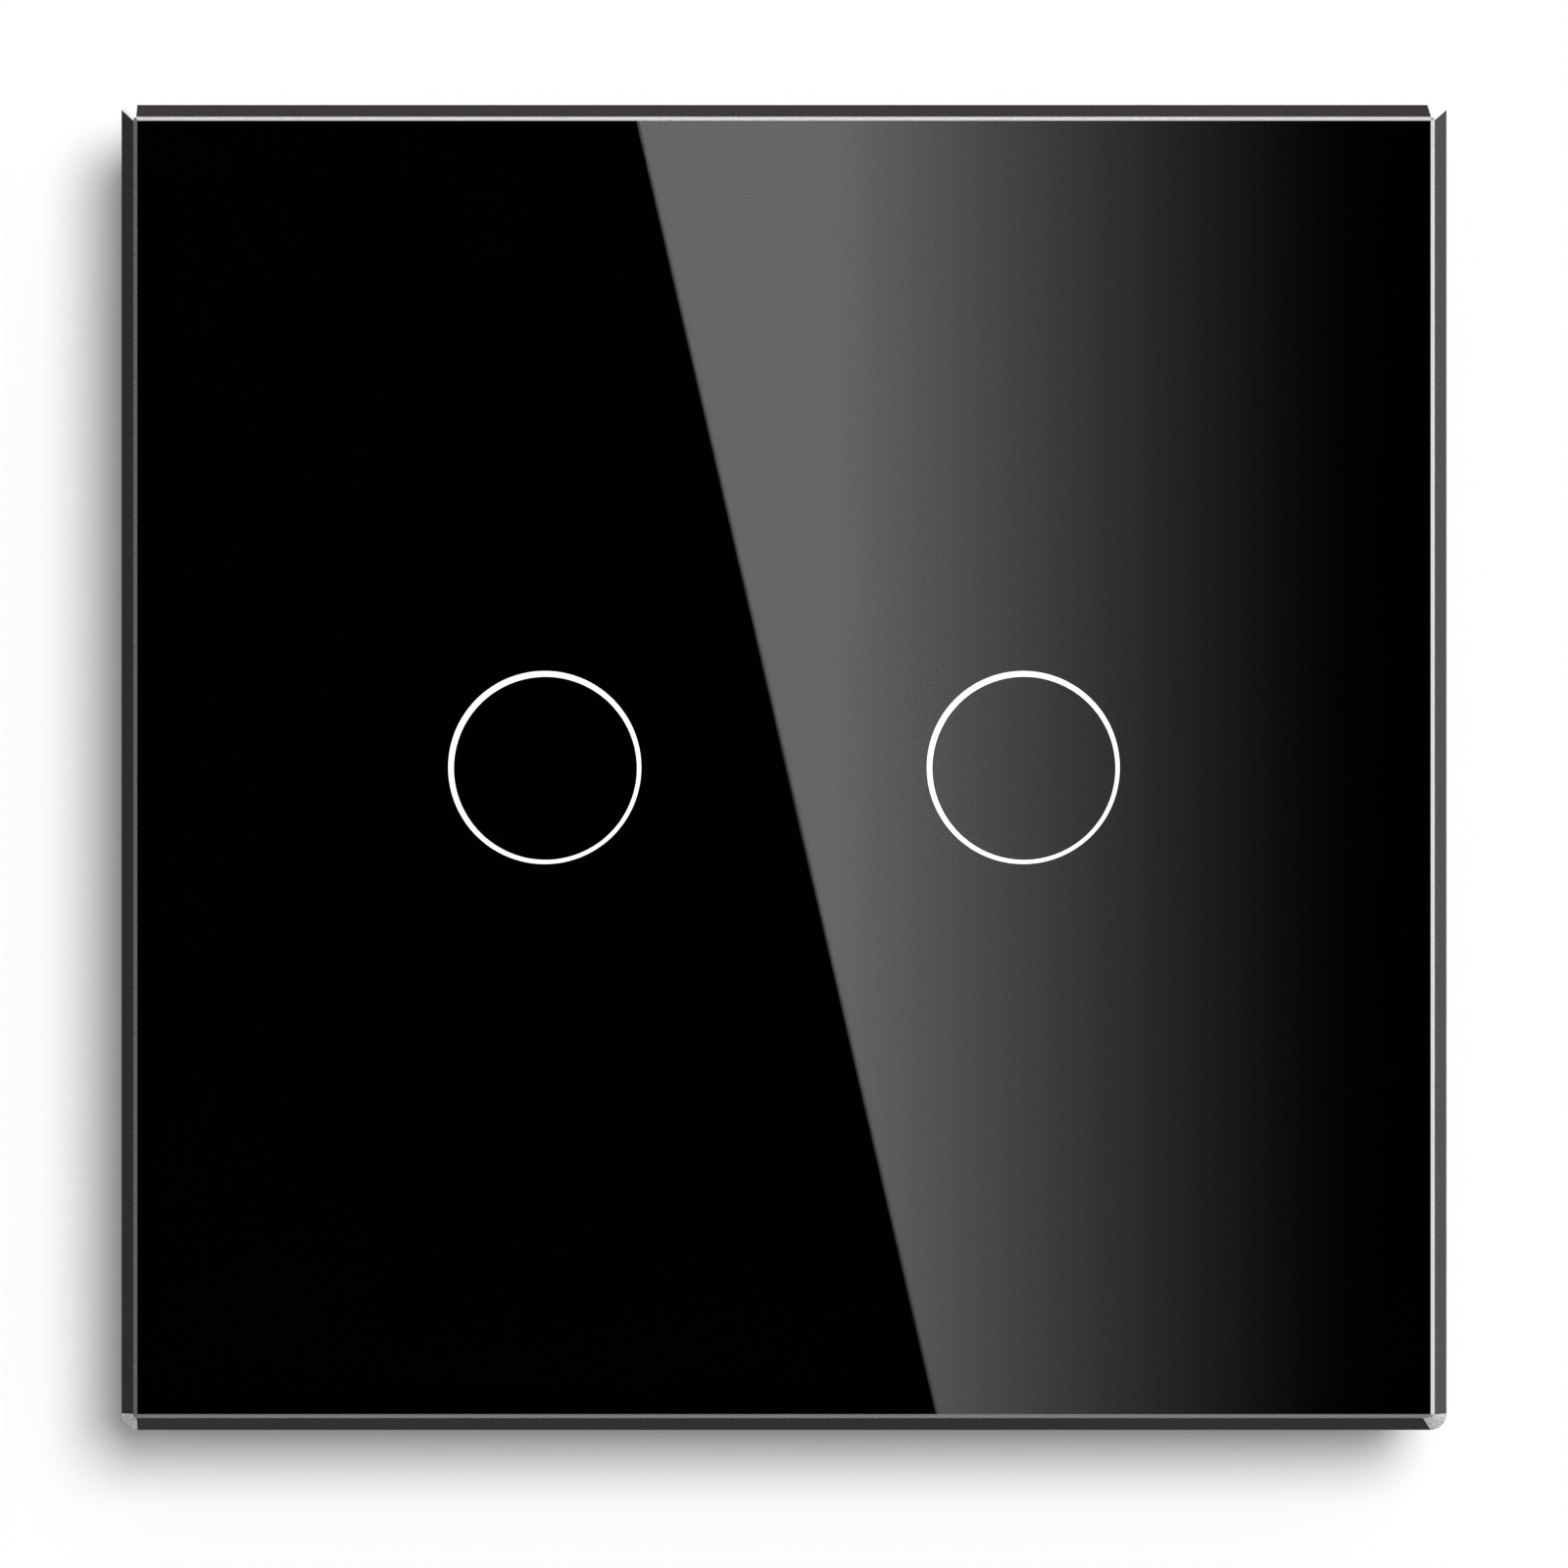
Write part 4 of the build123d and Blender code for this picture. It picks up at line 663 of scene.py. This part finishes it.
wears = {
    "foam_tape": ["adhesive_frame"],
    "satin_black_plastic": ["panel_frame", "board_socket"],
    "header_plastic": ["pin_header"],
    "white_moulding": ["module_cover", *both("relay_bobbin")],
    "grey_moulding": ["rear_housing"],
    "clouded_acrylic": both("light_guide"),
    "zinc_plated_steel": ["mounting_bracket"],
    "touch_circuit_board": ["touch_board"],
    "power_circuit_board": ["power_board"],
    "touch_chip_moulding": ["touch_controller"],
    "bridge_moulding": ["bridge_rectifier"],
    "lamp_body": both("indicator_led"),
    "film_box": ["film_capacitor"],
    "can_sleeve": ["electrolytic_capacitor"],
    "disc_lacquer": ["varistor"],
    "banded_resistor": ["fuse_resistor"],
    "terminal_green": ["terminal_block"],
    "relay_case_blue": both("relay_case", "relay_base"),
    "nickel_plated_iron": [*both("relay_yoke", "relay_armature"), *(f"terminal_cage_{n}" for n in TERMINALS)],
    "brass": [*both("relay_leaf", "relay_fixed_contact"), "terminal_busbars"],
}
for finish, names in wears.items():
    for name in names:
        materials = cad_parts[name].data.materials
        materials.clear()
        materials.append(finishes[finish])
print("finished", sum(len(names) for names in wears.values()), "measured pieces")

# %% [markdown]
# ## Springs that carry the touch
#
# A finger is felt through the glass by a plate, a foil or, as here, a coil spring
# that presses on the coat behind each ring. The measured model has a coarse coil.
# Geometry Nodes wind a fine one: a spiral curve for the open turns, a circle at
# each end for the closed turns, and a round wire swept along all three.

# %% Helpers for Geometry Nodes
def new_maker(name, **inputs):
    """An empty geometry group that takes and gives geometry."""
    return new_group(name, "Geometry", {"Geometry": "Geometry", **inputs}, {"Geometry": "Geometry"})


def end_maker(result, source, finish):
    """The end of each maker: plain geometry in one finish."""
    real = add(result.id_data, "GeometryNodeRealizeInstances", Geometry=source)
    coated = add(result.id_data, "GeometryNodeSetMaterial", Geometry=real.outputs[0], Material=finish)
    feed(result, Geometry=coated.outputs[0])


def run_maker(maker, values, start=()):
    """Runs a geometry group on a mesh of loose points and gives back the plain mesh that it makes."""
    seed_mesh = bpy.data.meshes.new(maker.name)
    seed_mesh.from_pydata(start, [], [])
    holder = placed(maker.name, seed_mesh)
    modifier = holder.modifiers.new(maker.name, "NODES")
    modifier.node_group = maker
    for socket in maker.interface.items_tree:
        if socket.in_out == "INPUT" and socket.name in values:
            modifier[socket.identifier] = values[socket.name]
    return made_mesh(holder)


print("geometry helpers ready")

# %% A tree that winds a wire
LONG_TURN = 40
WIRE_SIDES = 10
spring_maker, given, result = new_maker(
    "spring_maker", Radius="Float", Wire="Float", Height="Float", Turns="Float", Finish="Material")
open_turns = add(spring_maker, "GeometryNodeCurveSpiral", Resolution=LONG_TURN, Start_Radius=given["Radius"],
                 End_Radius=given["Radius"], Height=given["Height"], Rotations=given["Turns"])
end_turn = add(spring_maker, "GeometryNodeCurvePrimitiveCircle", Resolution=LONG_TURN, Radius=given["Radius"])
lift = add(spring_maker, "ShaderNodeCombineXYZ", Z=given["Height"]).outputs[0]
far_turn = add(spring_maker, "GeometryNodeTransform", Geometry=end_turn.outputs["Curve"], Translation=lift)
turns = add(spring_maker, "GeometryNodeJoinGeometry")
for source in (open_turns.outputs["Curve"], end_turn.outputs["Curve"], far_turn.outputs["Geometry"]):
    put(source, turns.inputs[0])
wire = add(spring_maker, "GeometryNodeCurvePrimitiveCircle", Resolution=WIRE_SIDES, Radius=given["Wire"])
swept = add(spring_maker, "GeometryNodeCurveToMesh", Curve=turns.outputs[0],
            Profile_Curve=wire.outputs["Curve"], Fill_Caps=True)
end_maker(result, swept.outputs[0], given["Finish"])
print("tree", spring_maker.name, "with", len(spring_maker.nodes), "nodes")

# %% Wind the springs
CLOSE_PITCH = 1.98


def wind(name, node, finish, slot, wire_radius, turns=None):
    """Winds a wire along Y inside the box of a measured piece, for which it stands.

    With no number of turns it is wound turn beside turn, at a pitch of nearly two wire radii."""
    low, middle, high = box_of(node)
    height = high.y - low.y - 2 * wire_radius
    turns = turns or float(round(height / (CLOSE_PITCH * wire_radius)))
    mesh = run_maker(spring_maker, {"Radius": (high.x - low.x) / 2 - wire_radius, "Wire": wire_radius,
                                    "Height": height, "Turns": turns, "Finish": finishes[finish]})
    place = Matrix.Translation((middle.x, low.y + wire_radius, middle.z))
    mesh.transform(place @ Matrix.Rotation(-math.pi / 2, 4, "X"))
    finish_mesh(name, mesh, (), "base", slot, node, smooth=60.0)


for side in SIDES:
    wind(f"sensing_spring_{side}", f"touch_spring_{side}", "nickel_plated_iron", "iron", 0.2 * MM, turns=3.0)

# %% [markdown]
# ## The wire on the relays' coils
#
# Each relay pulls its armature with a coil of enamelled copper wire, wound turn
# beside turn on a white bobbin. The measured model has a plain sleeve there. The
# tree that winds the springs winds this wire too, with a finer wire and more turns.

# %% Wind the coils
for side in SIDES:
    wind(f"coil_wire_{side}", f"relay_winding_{side}", "enamelled_copper", "copper", 0.15 * MM)

# %% [markdown]
# ## Screws
#
# A screw is turned and rolled from wire, so it is round about its axis: the head
# and core are an outline spun round, and the thread is a ridge that climbs round
# the core. The recess is cut out with a tapered blade by a Boolean. One master is
# made for each kind, and Geometry Nodes set it at each place where it is used.

# %% Helpers that spin, cut and thread
def spun(outline, steps=40):
    """A closed shape spun about Y from an outline of (radius, depth) that starts and ends on the axis."""
    shape = bmesh.new()
    angles = [2 * math.pi * i / steps for i in range(steps)]
    rings = []
    for radius, depth in outline:
        around = angles if radius else [0.0]
        rings.append([shape.verts.new((radius * math.cos(a), depth, radius * math.sin(a))) for a in around])
    for near, far in zip(rings, rings[1:]):
        for i in range(steps):
            after = (i + 1) % steps
            if len(near) == 1:
                shape.faces.new((near[0], far[i], far[after]))
            elif len(far) == 1:
                shape.faces.new((near[i], near[after], far[0]))
            else:
                shape.faces.new((near[i], near[after], far[after], far[i]))
    return shape


def blade(long, wide, back, turn):
    """A tapered blade across the axis, wider at its front than at its back."""
    shape = bmesh.new()
    corners = []
    for depth, share in ((-0.1 * MM, 1.0), (back, 0.55)):
        for x, z in ((-1, -1), (1, -1), (1, 1), (-1, 1)):
            corner = Vector((x * long / 2 * share, z * wide / 2 * (0.5 + share / 2)))
            spot = Matrix.Rotation(turn, 2) @ corner
            corners.append(shape.verts.new((spot.x, depth, spot.y)))
    for names in ((0, 1, 2, 3), (7, 6, 5, 4), (0, 4, 5, 1), (1, 5, 6, 2), (2, 6, 7, 3), (3, 7, 4, 0)):
        shape.faces.new([corners[n] for n in names])
    return shape


def add_thread(shape, core, crest, start, end, pitch, steps=24):
    """A ridge that climbs round a core along Y, tapered to nothing at both ends."""
    count = int((end - start) / pitch * steps)
    foot = core * 0.96
    low_peak = core * 0.97
    previous = None
    for i in range(count + 1):
        angle = 2 * math.pi * i / steps
        depth = start + pitch * i / steps
        share = min(1.0, i / (steps / 2), (count - i) / (steps / 2))
        peak = low_peak + (crest - low_peak) * share
        row = [shape.verts.new((r * math.cos(angle), depth + d * pitch, r * math.sin(angle)))
               for r, d in ((foot, -0.36), (peak, 0.0), (foot, 0.36))]
        if previous:
            for a, b in ((0, 1), (1, 2), (2, 0)):
                shape.faces.new((previous[a], previous[b], row[b], row[a]))
        else:
            shape.faces.new(row)
        previous = row
    shape.faces.new(list(reversed(previous)))


def screw_master(name, head, head_tall, shank, long, pitch, slotted=False):
    """A pan-head screw whose head faces -Y from zero, as an object to copy from. Sizes are in mm."""
    r, h, s = head / 2 * MM, head_tall * MM, shank / 2 * MM
    core = s * 0.8
    tip = h + long * MM
    shoulder = tip - 0.8 * s
    dome = [(0.5 * r, 0.0), (0.72 * r, 0.05 * h), (0.88 * r, 0.17 * h), (0.97 * r, 0.36 * h), (r, 0.6 * h)]
    shaft = [(s, h), (s, 1.12 * h), (core, 1.25 * h), (core, shoulder), (0.45 * core, tip)]
    outline = [(0, 0.0), *dome, (r, 0.93 * h), (0.97 * r, h), *shaft, (0, tip)]
    cuts = [(1.3 * r, 0.34 * r, 0.62 * h, 0.0), (1.3 * r, 0.34 * r, 0.62 * h, math.pi / 2)]
    if slotted:
        cuts.append((3.4 * r, 0.24 * r, 0.4 * h, 0.0))
    body = shaped(name, spun(outline))
    blades = [shaped("blade", blade(*cut)) for cut in cuts]
    for tool in blades:
        cut = body.modifiers.new("cut", "BOOLEAN")
        cut.object = tool
        cut.solver = "EXACT"
    threaded = bmesh.new()
    threaded.from_mesh(made_mesh(body))
    for tool in blades:
        bpy.data.objects.remove(tool)
    add_thread(threaded, core, s, 1.3 * h, shoulder, pitch * MM)
    return shaped(name, threaded)


print("screw helpers ready")

# %% A tree that sets a master piece at each place
setter, given, result = new_maker("piece_setter", Master="Object", Turn="Vector", Finish="Material")
master_shape = add(setter, "GeometryNodeObjectInfo", Object=given["Master"]).outputs["Geometry"]
facing = fill(add(setter, "FunctionNodeEulerToRotation"), given["Turn"])
copies = add(setter, "GeometryNodeInstanceOnPoints", Points=given["Geometry"], Instance=master_shape,
             Rotation=facing)
end_maker(result, copies.outputs[0], given["Finish"])
BACKWARDS = (0.0, 0.0, math.pi)
FORWARDS = (0.0, 0.0, 0.0)
UPRIGHT = (0.0, math.pi / 2, 0.0)


def set_pieces(name, master, turn, finish, places, body, slot, *stands_for, smooth=35.0):
    """Sets a master at each place and joins the copies to one piece."""
    mesh = run_maker(setter, {"Master": master, "Turn": turn, "Finish": finishes[finish]}, places)
    finish_mesh(name, mesh, (), body, slot, *stands_for, smooth=smooth)


print("tree", setter.name, "with", len(setter.nodes), "nodes")

# %% Set the screws
screw_kinds = {
    "housing_screws": ((4.2, 1.6, 2.2, 7.8, 0.8), (-17.6, 17.6), (-17.6, 17.6)),
    "touch_board_screws": ((3.2, 0.8, 1.6, 2.7, 0.6), (-19.5, 19.5), (-8.0, 8.0)),
    "power_board_screws": ((3.6, 1.1, 1.9, 6.6, 0.7), (-20.0, 20.0), (2.0,)),
}
for node, (sizes, columns, rows) in screw_kinds.items():
    low, _, high = box_of(node)
    turn, head_face = (FORWARDS, low.y) if node == "power_board_screws" else (BACKWARDS, high.y)
    master = screw_master("board_screw", *sizes)
    places = [(x * MM, head_face, z * MM) for x in columns for z in rows]
    set_pieces(f"cross_{node}", master, turn, "screw_steel", places, "base", "screw_steel", node)
    bpy.data.objects.remove(master)
master = screw_master("terminal_screw", 3.8, 1.4, 2.9, 4.65, 0.5, slotted=True)
for number in TERMINALS:
    node = f"terminal_screw_{number}"
    _, middle, high = box_of(node)
    place = (middle.x, high.y, middle.z)
    set_pieces(f"clamp_screw_{number}", master, BACKWARDS, "screw_steel", [place], node, "screw_steel", node)
bpy.data.objects.remove(master)

# %% [markdown]
# ## Solder and small parts on the boards
#
# A lead that comes through a board ends in a small cone of solder, which wets the
# copper round it and climbs the lead. The ends of all leads are found in the
# measured pieces, one cone is spun, and the same tree as before sets it at each.
# The touch board also carries small chip parts: a dark body between two tinned
# ends. The ends are told apart by an attribute on the faces, which the finish reads.

# %% Find the ends of the leads
LEAD_REACH = 1.0 * MM
POWER_TIPS = 8.75 * MM
TOUCH_TIPS = -2.7 * MM


def lead_ends(node, tips_before):
    """The middles (x, z) of the leads of a measured piece that end in front of a depth."""
    groups = []
    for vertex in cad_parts[node].data.vertices:
        x, y, z = vertex.co
        if y > tips_before:
            continue
        near = [g for g in groups if abs(g[0][0] - x) < LEAD_REACH and abs(g[0][1] - z) < LEAD_REACH]
        if near:
            near[0].append((x, z))
        else:
            groups.append([(x, z)])
    return [[(min(values) + max(values)) / 2 for values in zip(*group)] for group in groups]


soldered = ["electrolytic_capacitor", "film_capacitor", "fuse_resistor", "varistor", "terminal_busbars"]
soldered += both("relay_bobbin", "relay_fixed_contact", "relay_yoke")
power_ends = [(x, BOARD_FRONT, z) for node in soldered for x, z in lead_ends(node, POWER_TIPS)]
touch_ends = [(x, TOUCH_FRONT, z) for x, z in lead_ends("board_socket", TOUCH_TIPS)]
print(len(power_ends), "leads through the power board and", len(touch_ends), "through the touch board")

# %% Solder cones
place, surface = new_finish("solder", (0.7, 0.7, 0.69), 0.22, Metallic=1.0)
ripple = noise(place, 1800.0, detail=3.0)
feed(surface, Roughness=spread(ripple, 0.16, 0.36),
     Base_Color=mix(ripple, (0.62, 0.62, 0.6), (0.76, 0.76, 0.75)))
SLOPE = ((0.3, -1.08), (0.44, -0.85), (0.5, -0.55), (0.62, -0.25), (0.9, -0.06), (1.0, 0.01))
solder_sizes = {"power_board_solder": (1.0, 1.0, power_ends), "touch_board_solder": (0.72, 0.6, touch_ends)}
for name, (wide, tall, places) in solder_sizes.items():
    outline = [(radius * wide * MM, depth * tall * MM) for radius, depth in ((0, -1.1), *SLOPE, (0, 0.01))]
    master = shaped("solder_cone", spun(outline, 16))
    set_pieces(name, master, FORWARDS, "solder", places, "base", "screw_steel", smooth=40.0)
    bpy.data.objects.remove(master)

# %% Small chip parts on the touch board
place, surface = new_finish("chip_part", 0.03, 0.4)
tinned = add(surface.id_data, "ShaderNodeAttribute", attribute_name="tinned_end").outputs["Fac"]
body_colour = mix(noise(place, 1200.0), 0.02, (0.16, 0.11, 0.06))
feed(surface, Base_Color=mix(tinned, body_colour, (0.7, 0.7, 0.68)), Metallic=tinned,
     Roughness=ramp(tinned, 0.0, 1.0, 0.5, 0.25))
TINNED = (0.3, 0.45, 0.8)


def chip_part_shape():
    """A body with two tinned ends that stand a little proud of it, resting on depth zero."""
    shape = bmesh.new()
    tinned_end = shape.faces.layers.float.new("tinned_end")
    for x, size, is_tinned in ((0.0, (1.2, 0.42, 0.76), 0.0), (-0.65, TINNED, 1.0), (0.65, TINNED, 1.0)):
        corners = bmesh.ops.create_cube(shape, size=1.0)["verts"]
        for corner in corners:
            corner.co = (Vector((x, -size[1] / 2, 0.0)) + corner.co * Vector(size)) * MM
        block = {face for corner in corners for face in corner.link_faces}
        edges = {edge for face in block for edge in face.edges}
        rounded = bmesh.ops.bevel(shape, geom=list(edges), offset=0.04 * MM, segments=2, profile=0.5,
                                  affect="EDGES")
        for face in block | set(rounded["faces"]):
            if face.is_valid:
                face[tinned_end] = is_tinned
    return shape


chip_places = (
    ("across", FORWARDS, [(-8.0, -13.6), (-8.0, -16.0), (8.0, -13.6), (8.0, -16.0), (-3.0, 16.0), (0.6, 16.0),
                          (2.4, 12.2), (-5.0, -3.0)]),
    ("upright", UPRIGHT, [(-5.2, 12.8), (-2.6, 12.2), (-0.4, 12.2), (4.8, 14.8), (5.2, -3.4), (-0.8, 4.0),
                          (1.0, 4.0)]),
)
master = shaped("chip_part", chip_part_shape())
for way, turn, spots in chip_places:
    places = [(x * MM, TOUCH_FRONT, z * MM) for x, z in spots]
    set_pieces(f"chip_parts_{way}", master, turn, "chip_part", places, "base", "chip")
bpy.data.objects.remove(master)

# %% [markdown]
# ## Marks of the terminals
#
# The installer finds the wires by short raised marks above the screws: N for the
# neutral wire, L for the live wire, and L1 and L2 for the two lamps. They are
# white and stand up a little. They are read from behind, so they run from right to
# left along X.

# %% Raise the marks
MARK_TALL = 2.4 * MM
MARK_HALF_THICK = 0.05 * MM
MARK_SUNK = 0.02 * MM
MARK_Z = -8.1 * MM
HOUSING_BACK = box_of("rear_housing")[2].y
TO_THE_BACK = Matrix.Rotation(math.pi, 4, "Z") @ Matrix.Rotation(math.pi / 2, 4, "X")
for number, text in zip(TERMINALS, ("N", "L", "L1", "L2")):
    curve = bpy.data.curves.new("mark", "FONT")
    curve.body = text
    curve.size = MARK_TALL
    curve.extrude = MARK_HALF_THICK
    curve.align_x = curve.align_y = "CENTER"
    letters = made_mesh(placed("mark", curve))
    middle_x = box_of(f"terminal_screw_{number}")[1].x
    letters.transform(Matrix.Translation((middle_x, HOUSING_BACK - MARK_SUNK, MARK_Z)) @ TO_THE_BACK)
    finish_mesh(f"mark_{text}", letters, ("white_moulding",), "base", "white_plastic")
print("four marks, raised", round((MARK_HALF_THICK - MARK_SUNK) / MM, 2), "mm")

# %% [markdown]
# ## The wall, the floor and the camera
#
# The switch hangs on a pale wall, so the wall is the backdrop, and a floor lies
# some way below it. Both are seen from one side only, so that a view from behind
# or from below looks through them. The wall has a round opening behind the
# bracket, as a real wall has, and the box of electronics goes through it.

# %% Wall and floor
WALL_SPACE = 0.2 * MM
OPENING = 30.5 * MM
STEPS = 64
FLOOR_Z = -0.13
WALL_REACH = 1.6
WALL_GREY = 0.86


def mix_shader(factor, first, second):
    """Mixes two shaders by a factor."""
    return fill(add(factor.id_data, "ShaderNodeMixShader"), factor, first, second)


def stage_finish(name, own_light):
    """A matt one-sided finish that adds a little light of its own to what the camera sees."""
    finish = bpy.data.materials.new(name)
    tree = empty_tree(finish)
    rays = add(tree, "ShaderNodeLightPath").outputs
    seen = plus(rays["Is Camera Ray"], rays["Is Glossy Ray"], rays["Is Transmission Ray"], clamp=True)
    seen = times(seen, minus(1.0, rays["Diffuse Depth"], clamp=True))
    paint = add(tree, "ShaderNodeBsdfDiffuse", Color=WALL_GREY).outputs[0]
    glow = add(tree, "ShaderNodeEmission", Strength=times(seen, own_light)).outputs[0]
    front = fill(add(tree, "ShaderNodeAddShader"), paint, glow)
    behind = add(tree, "ShaderNodeNewGeometry").outputs["Backfacing"]
    clear = add(tree, "ShaderNodeBsdfTransparent").outputs[0]
    add(tree, "ShaderNodeOutputMaterial", Surface=mix_shader(behind, front, clear))
    return finish


def stage_piece(name, mesh, finish):
    """A flat piece of the room, seen in no mirror and with no shadow of its own."""
    mesh.materials.append(finish)
    piece = placed(name, mesh)
    piece.visible_shadow = piece.visible_glossy = False
    return piece


def flat_mesh(name, corners, faces, facing):
    """A flat mesh whose faces all look along one direction."""
    mesh = bpy.data.meshes.new(name)
    mesh.from_pydata(corners, [], faces)
    if mesh.polygons[0].normal.dot(facing) < 0:
        mesh.flip_normals()
    return mesh


spots = circle(Vector((0, 0)), OPENING, STEPS) + circle(Vector((0, 0)), WALL_REACH, STEPS)
corners = [(spot.x, WALL_SPACE, spot.y) for spot in spots]
faces = [(i, i + STEPS, (i + 1) % STEPS + STEPS, (i + 1) % STEPS) for i in range(STEPS)]
wall_mesh = flat_mesh("wall", corners, faces, Vector((0, -1, 0)))
stage_piece("wall", wall_mesh, stage_finish("pale_wall", 0.12))
corners = [(x * WALL_REACH, y * WALL_REACH, FLOOR_Z) for x, y in ((-1, 1), (-1, -1), (1, -1), (1, 1))]
floor_mesh = flat_mesh("floor", corners, [(0, 1, 2, 3)], Vector((0, 0, 1)))
floor = stage_piece("floor", floor_mesh, stage_finish("pale_floor", 0.7))
floor.visible_diffuse = False
print("wall opening", round(OPENING / MM, 1), "mm in radius; floor at", FLOOR_Z, "m")

# %% Camera, square on to the glass
LENS = 180.0
SENSOR = 36.0
SEEN_WIDE = 94.6 * MM
SEEN_PLANE = GLASS_FRONT + 0.5 * MM
camera_data = bpy.data.cameras.new("camera")
camera_data.lens = LENS
camera_data.sensor_width = SENSOR
camera_data.clip_start = 0.01
camera = placed("camera", camera_data)
camera_distance = SEEN_WIDE * LENS / SENSOR
camera.location = (0.0, SEEN_PLANE - camera_distance, -1.0 * MM)
camera.rotation_euler = (math.pi / 2, 0.0, 0.0)
bpy.context.scene.camera = camera
bpy.context.scene.view_settings.view_transform = "Standard"
print("camera", round(camera_distance, 3), "m in front of the glass")

# %% [markdown]
# ## Light
#
# A broad soft lamp up to the right, with a weaker and broader one beyond it, gives
# the wall the short soft shadow at the left and below. A third lamp from behind
# lights what the other two never reach, for the views from there. The glass is a
# mirror with a black coat behind it, so what it shows is the room in front: dark,
# but for a pale band with a slanted edge that fades to the right. Mirrors only are
# given that room, through the world's light by direction. Lit patches at the right,
# above and below make the ground line shine.

# %% Lamps
def sun(name, strength, breadth, towards):
    """A lamp that shines from a direction and is seen in no mirror. Its breadth makes the shadow soft."""
    data = bpy.data.lights.new(name, "SUN")
    data.energy = strength * math.pi
    data.angle = math.radians(breadth)
    lamp = placed(name, data)
    lamp.rotation_euler = Vector(towards).to_track_quat("Z", "Y").to_euler()
    lamp.visible_glossy = lamp.visible_transmission = False


tilt = math.tan(math.radians(16.0))
sun("key_lamp", 0.9, 30.0, (tilt, -1.0, tilt))
sun("side_fill", 0.16, 80.0, (0.8, -1.0, 0.8))
sun("rear_fill", 0.5, 60.0, (-0.5, 0.9, 0.35))
print("three lamps")

# %% The room that mirrors see
# The band's places are in metres to the right or up for each metre ahead. Its slanted edge
# passes through BAND_LEFT at the height BAND_TOP and leans to the right below it.
PATCH_EDGE = math.cos(math.radians(20))
PATCH_CORE = math.cos(math.radians(14))
BAND_TOP = 0.0853
BAND_LEFT = -0.0191
BAND_LEAN = 0.2315
BAND_FADE = 13.896
BAND_LEVEL = 3.12
world = bpy.data.worlds.new("room")
bpy.context.scene.world = world
tree = empty_tree(world)
right, back, up = axes(add(tree, "ShaderNodeTexCoord").outputs["Generated"])
ahead, left, down = (times(axis, -1.0) for axis in (back, right, up))
levels = []
for axis, strength in ((right, 1.5), (left, 0.42), (up, 0.72), (down, 0.5), (back, 0.8)):
    levels.append(times(power(largest(axis, 0.0), 2.0), strength))
level = times(plus(*levels), ramp(ahead, 0.55, 0.85, 1.0, 0.0))
for axis, strength in ((right, 1.1), (up, 1.5), (down, 0.15)):
    between = times(plus(ahead, axis), math.sqrt(0.5))
    level = plus(level, ramp(between, PATCH_EDGE, PATCH_CORE, 0.0, strength))
safe_ahead = largest(ahead, 0.01)
across = over(right, safe_ahead)
upward = over(up, safe_ahead)
slant = plus(times(minus(BAND_TOP, upward), BAND_LEAN), BAND_LEFT)
inside_edge = ramp(minus(across, slant), 0.0, 0.0006)
fade = power(minus(1.0845, times(across, BAND_FADE), clamp=True), 2.2)
band = times(fade, inside_edge, BAND_LEVEL)
mirrored = plus(level, times(band, ramp(ahead, 0.9, 0.95)))
print("room ready with", len(tree.nodes), "nodes")

# %% The plain level of light, and who sees which
WHITE = 1.0
AMBIENT = 0.1
tint = mix(ramp(up, 0.9, 0.98), WHITE, (1.09, 0.96, 1.0))
room = add(tree, "ShaderNodeBackground", Color=tint, Strength=mirrored).outputs[0]
plain = add(tree, "ShaderNodeBackground", Color=WHITE, Strength=AMBIENT).outputs[0]
white = add(tree, "ShaderNodeBackground", Color=WHITE, Strength=1.0).outputs[0]
rays = add(tree, "ShaderNodeLightPath").outputs
direct = minus(1.0, rays["Diffuse Depth"], clamp=True)
seen = times(plus(rays["Is Camera Ray"], rays["Is Transmission Ray"], clamp=True), direct)
behind_all = mix_shader(seen, plain, white)
with_mirrors = mix_shader(times(rays["Is Glossy Ray"], direct), behind_all, room)
add(tree, "ShaderNodeOutputWorld", Surface=with_mirrors)
print("world ready with", len(tree.nodes), "nodes")
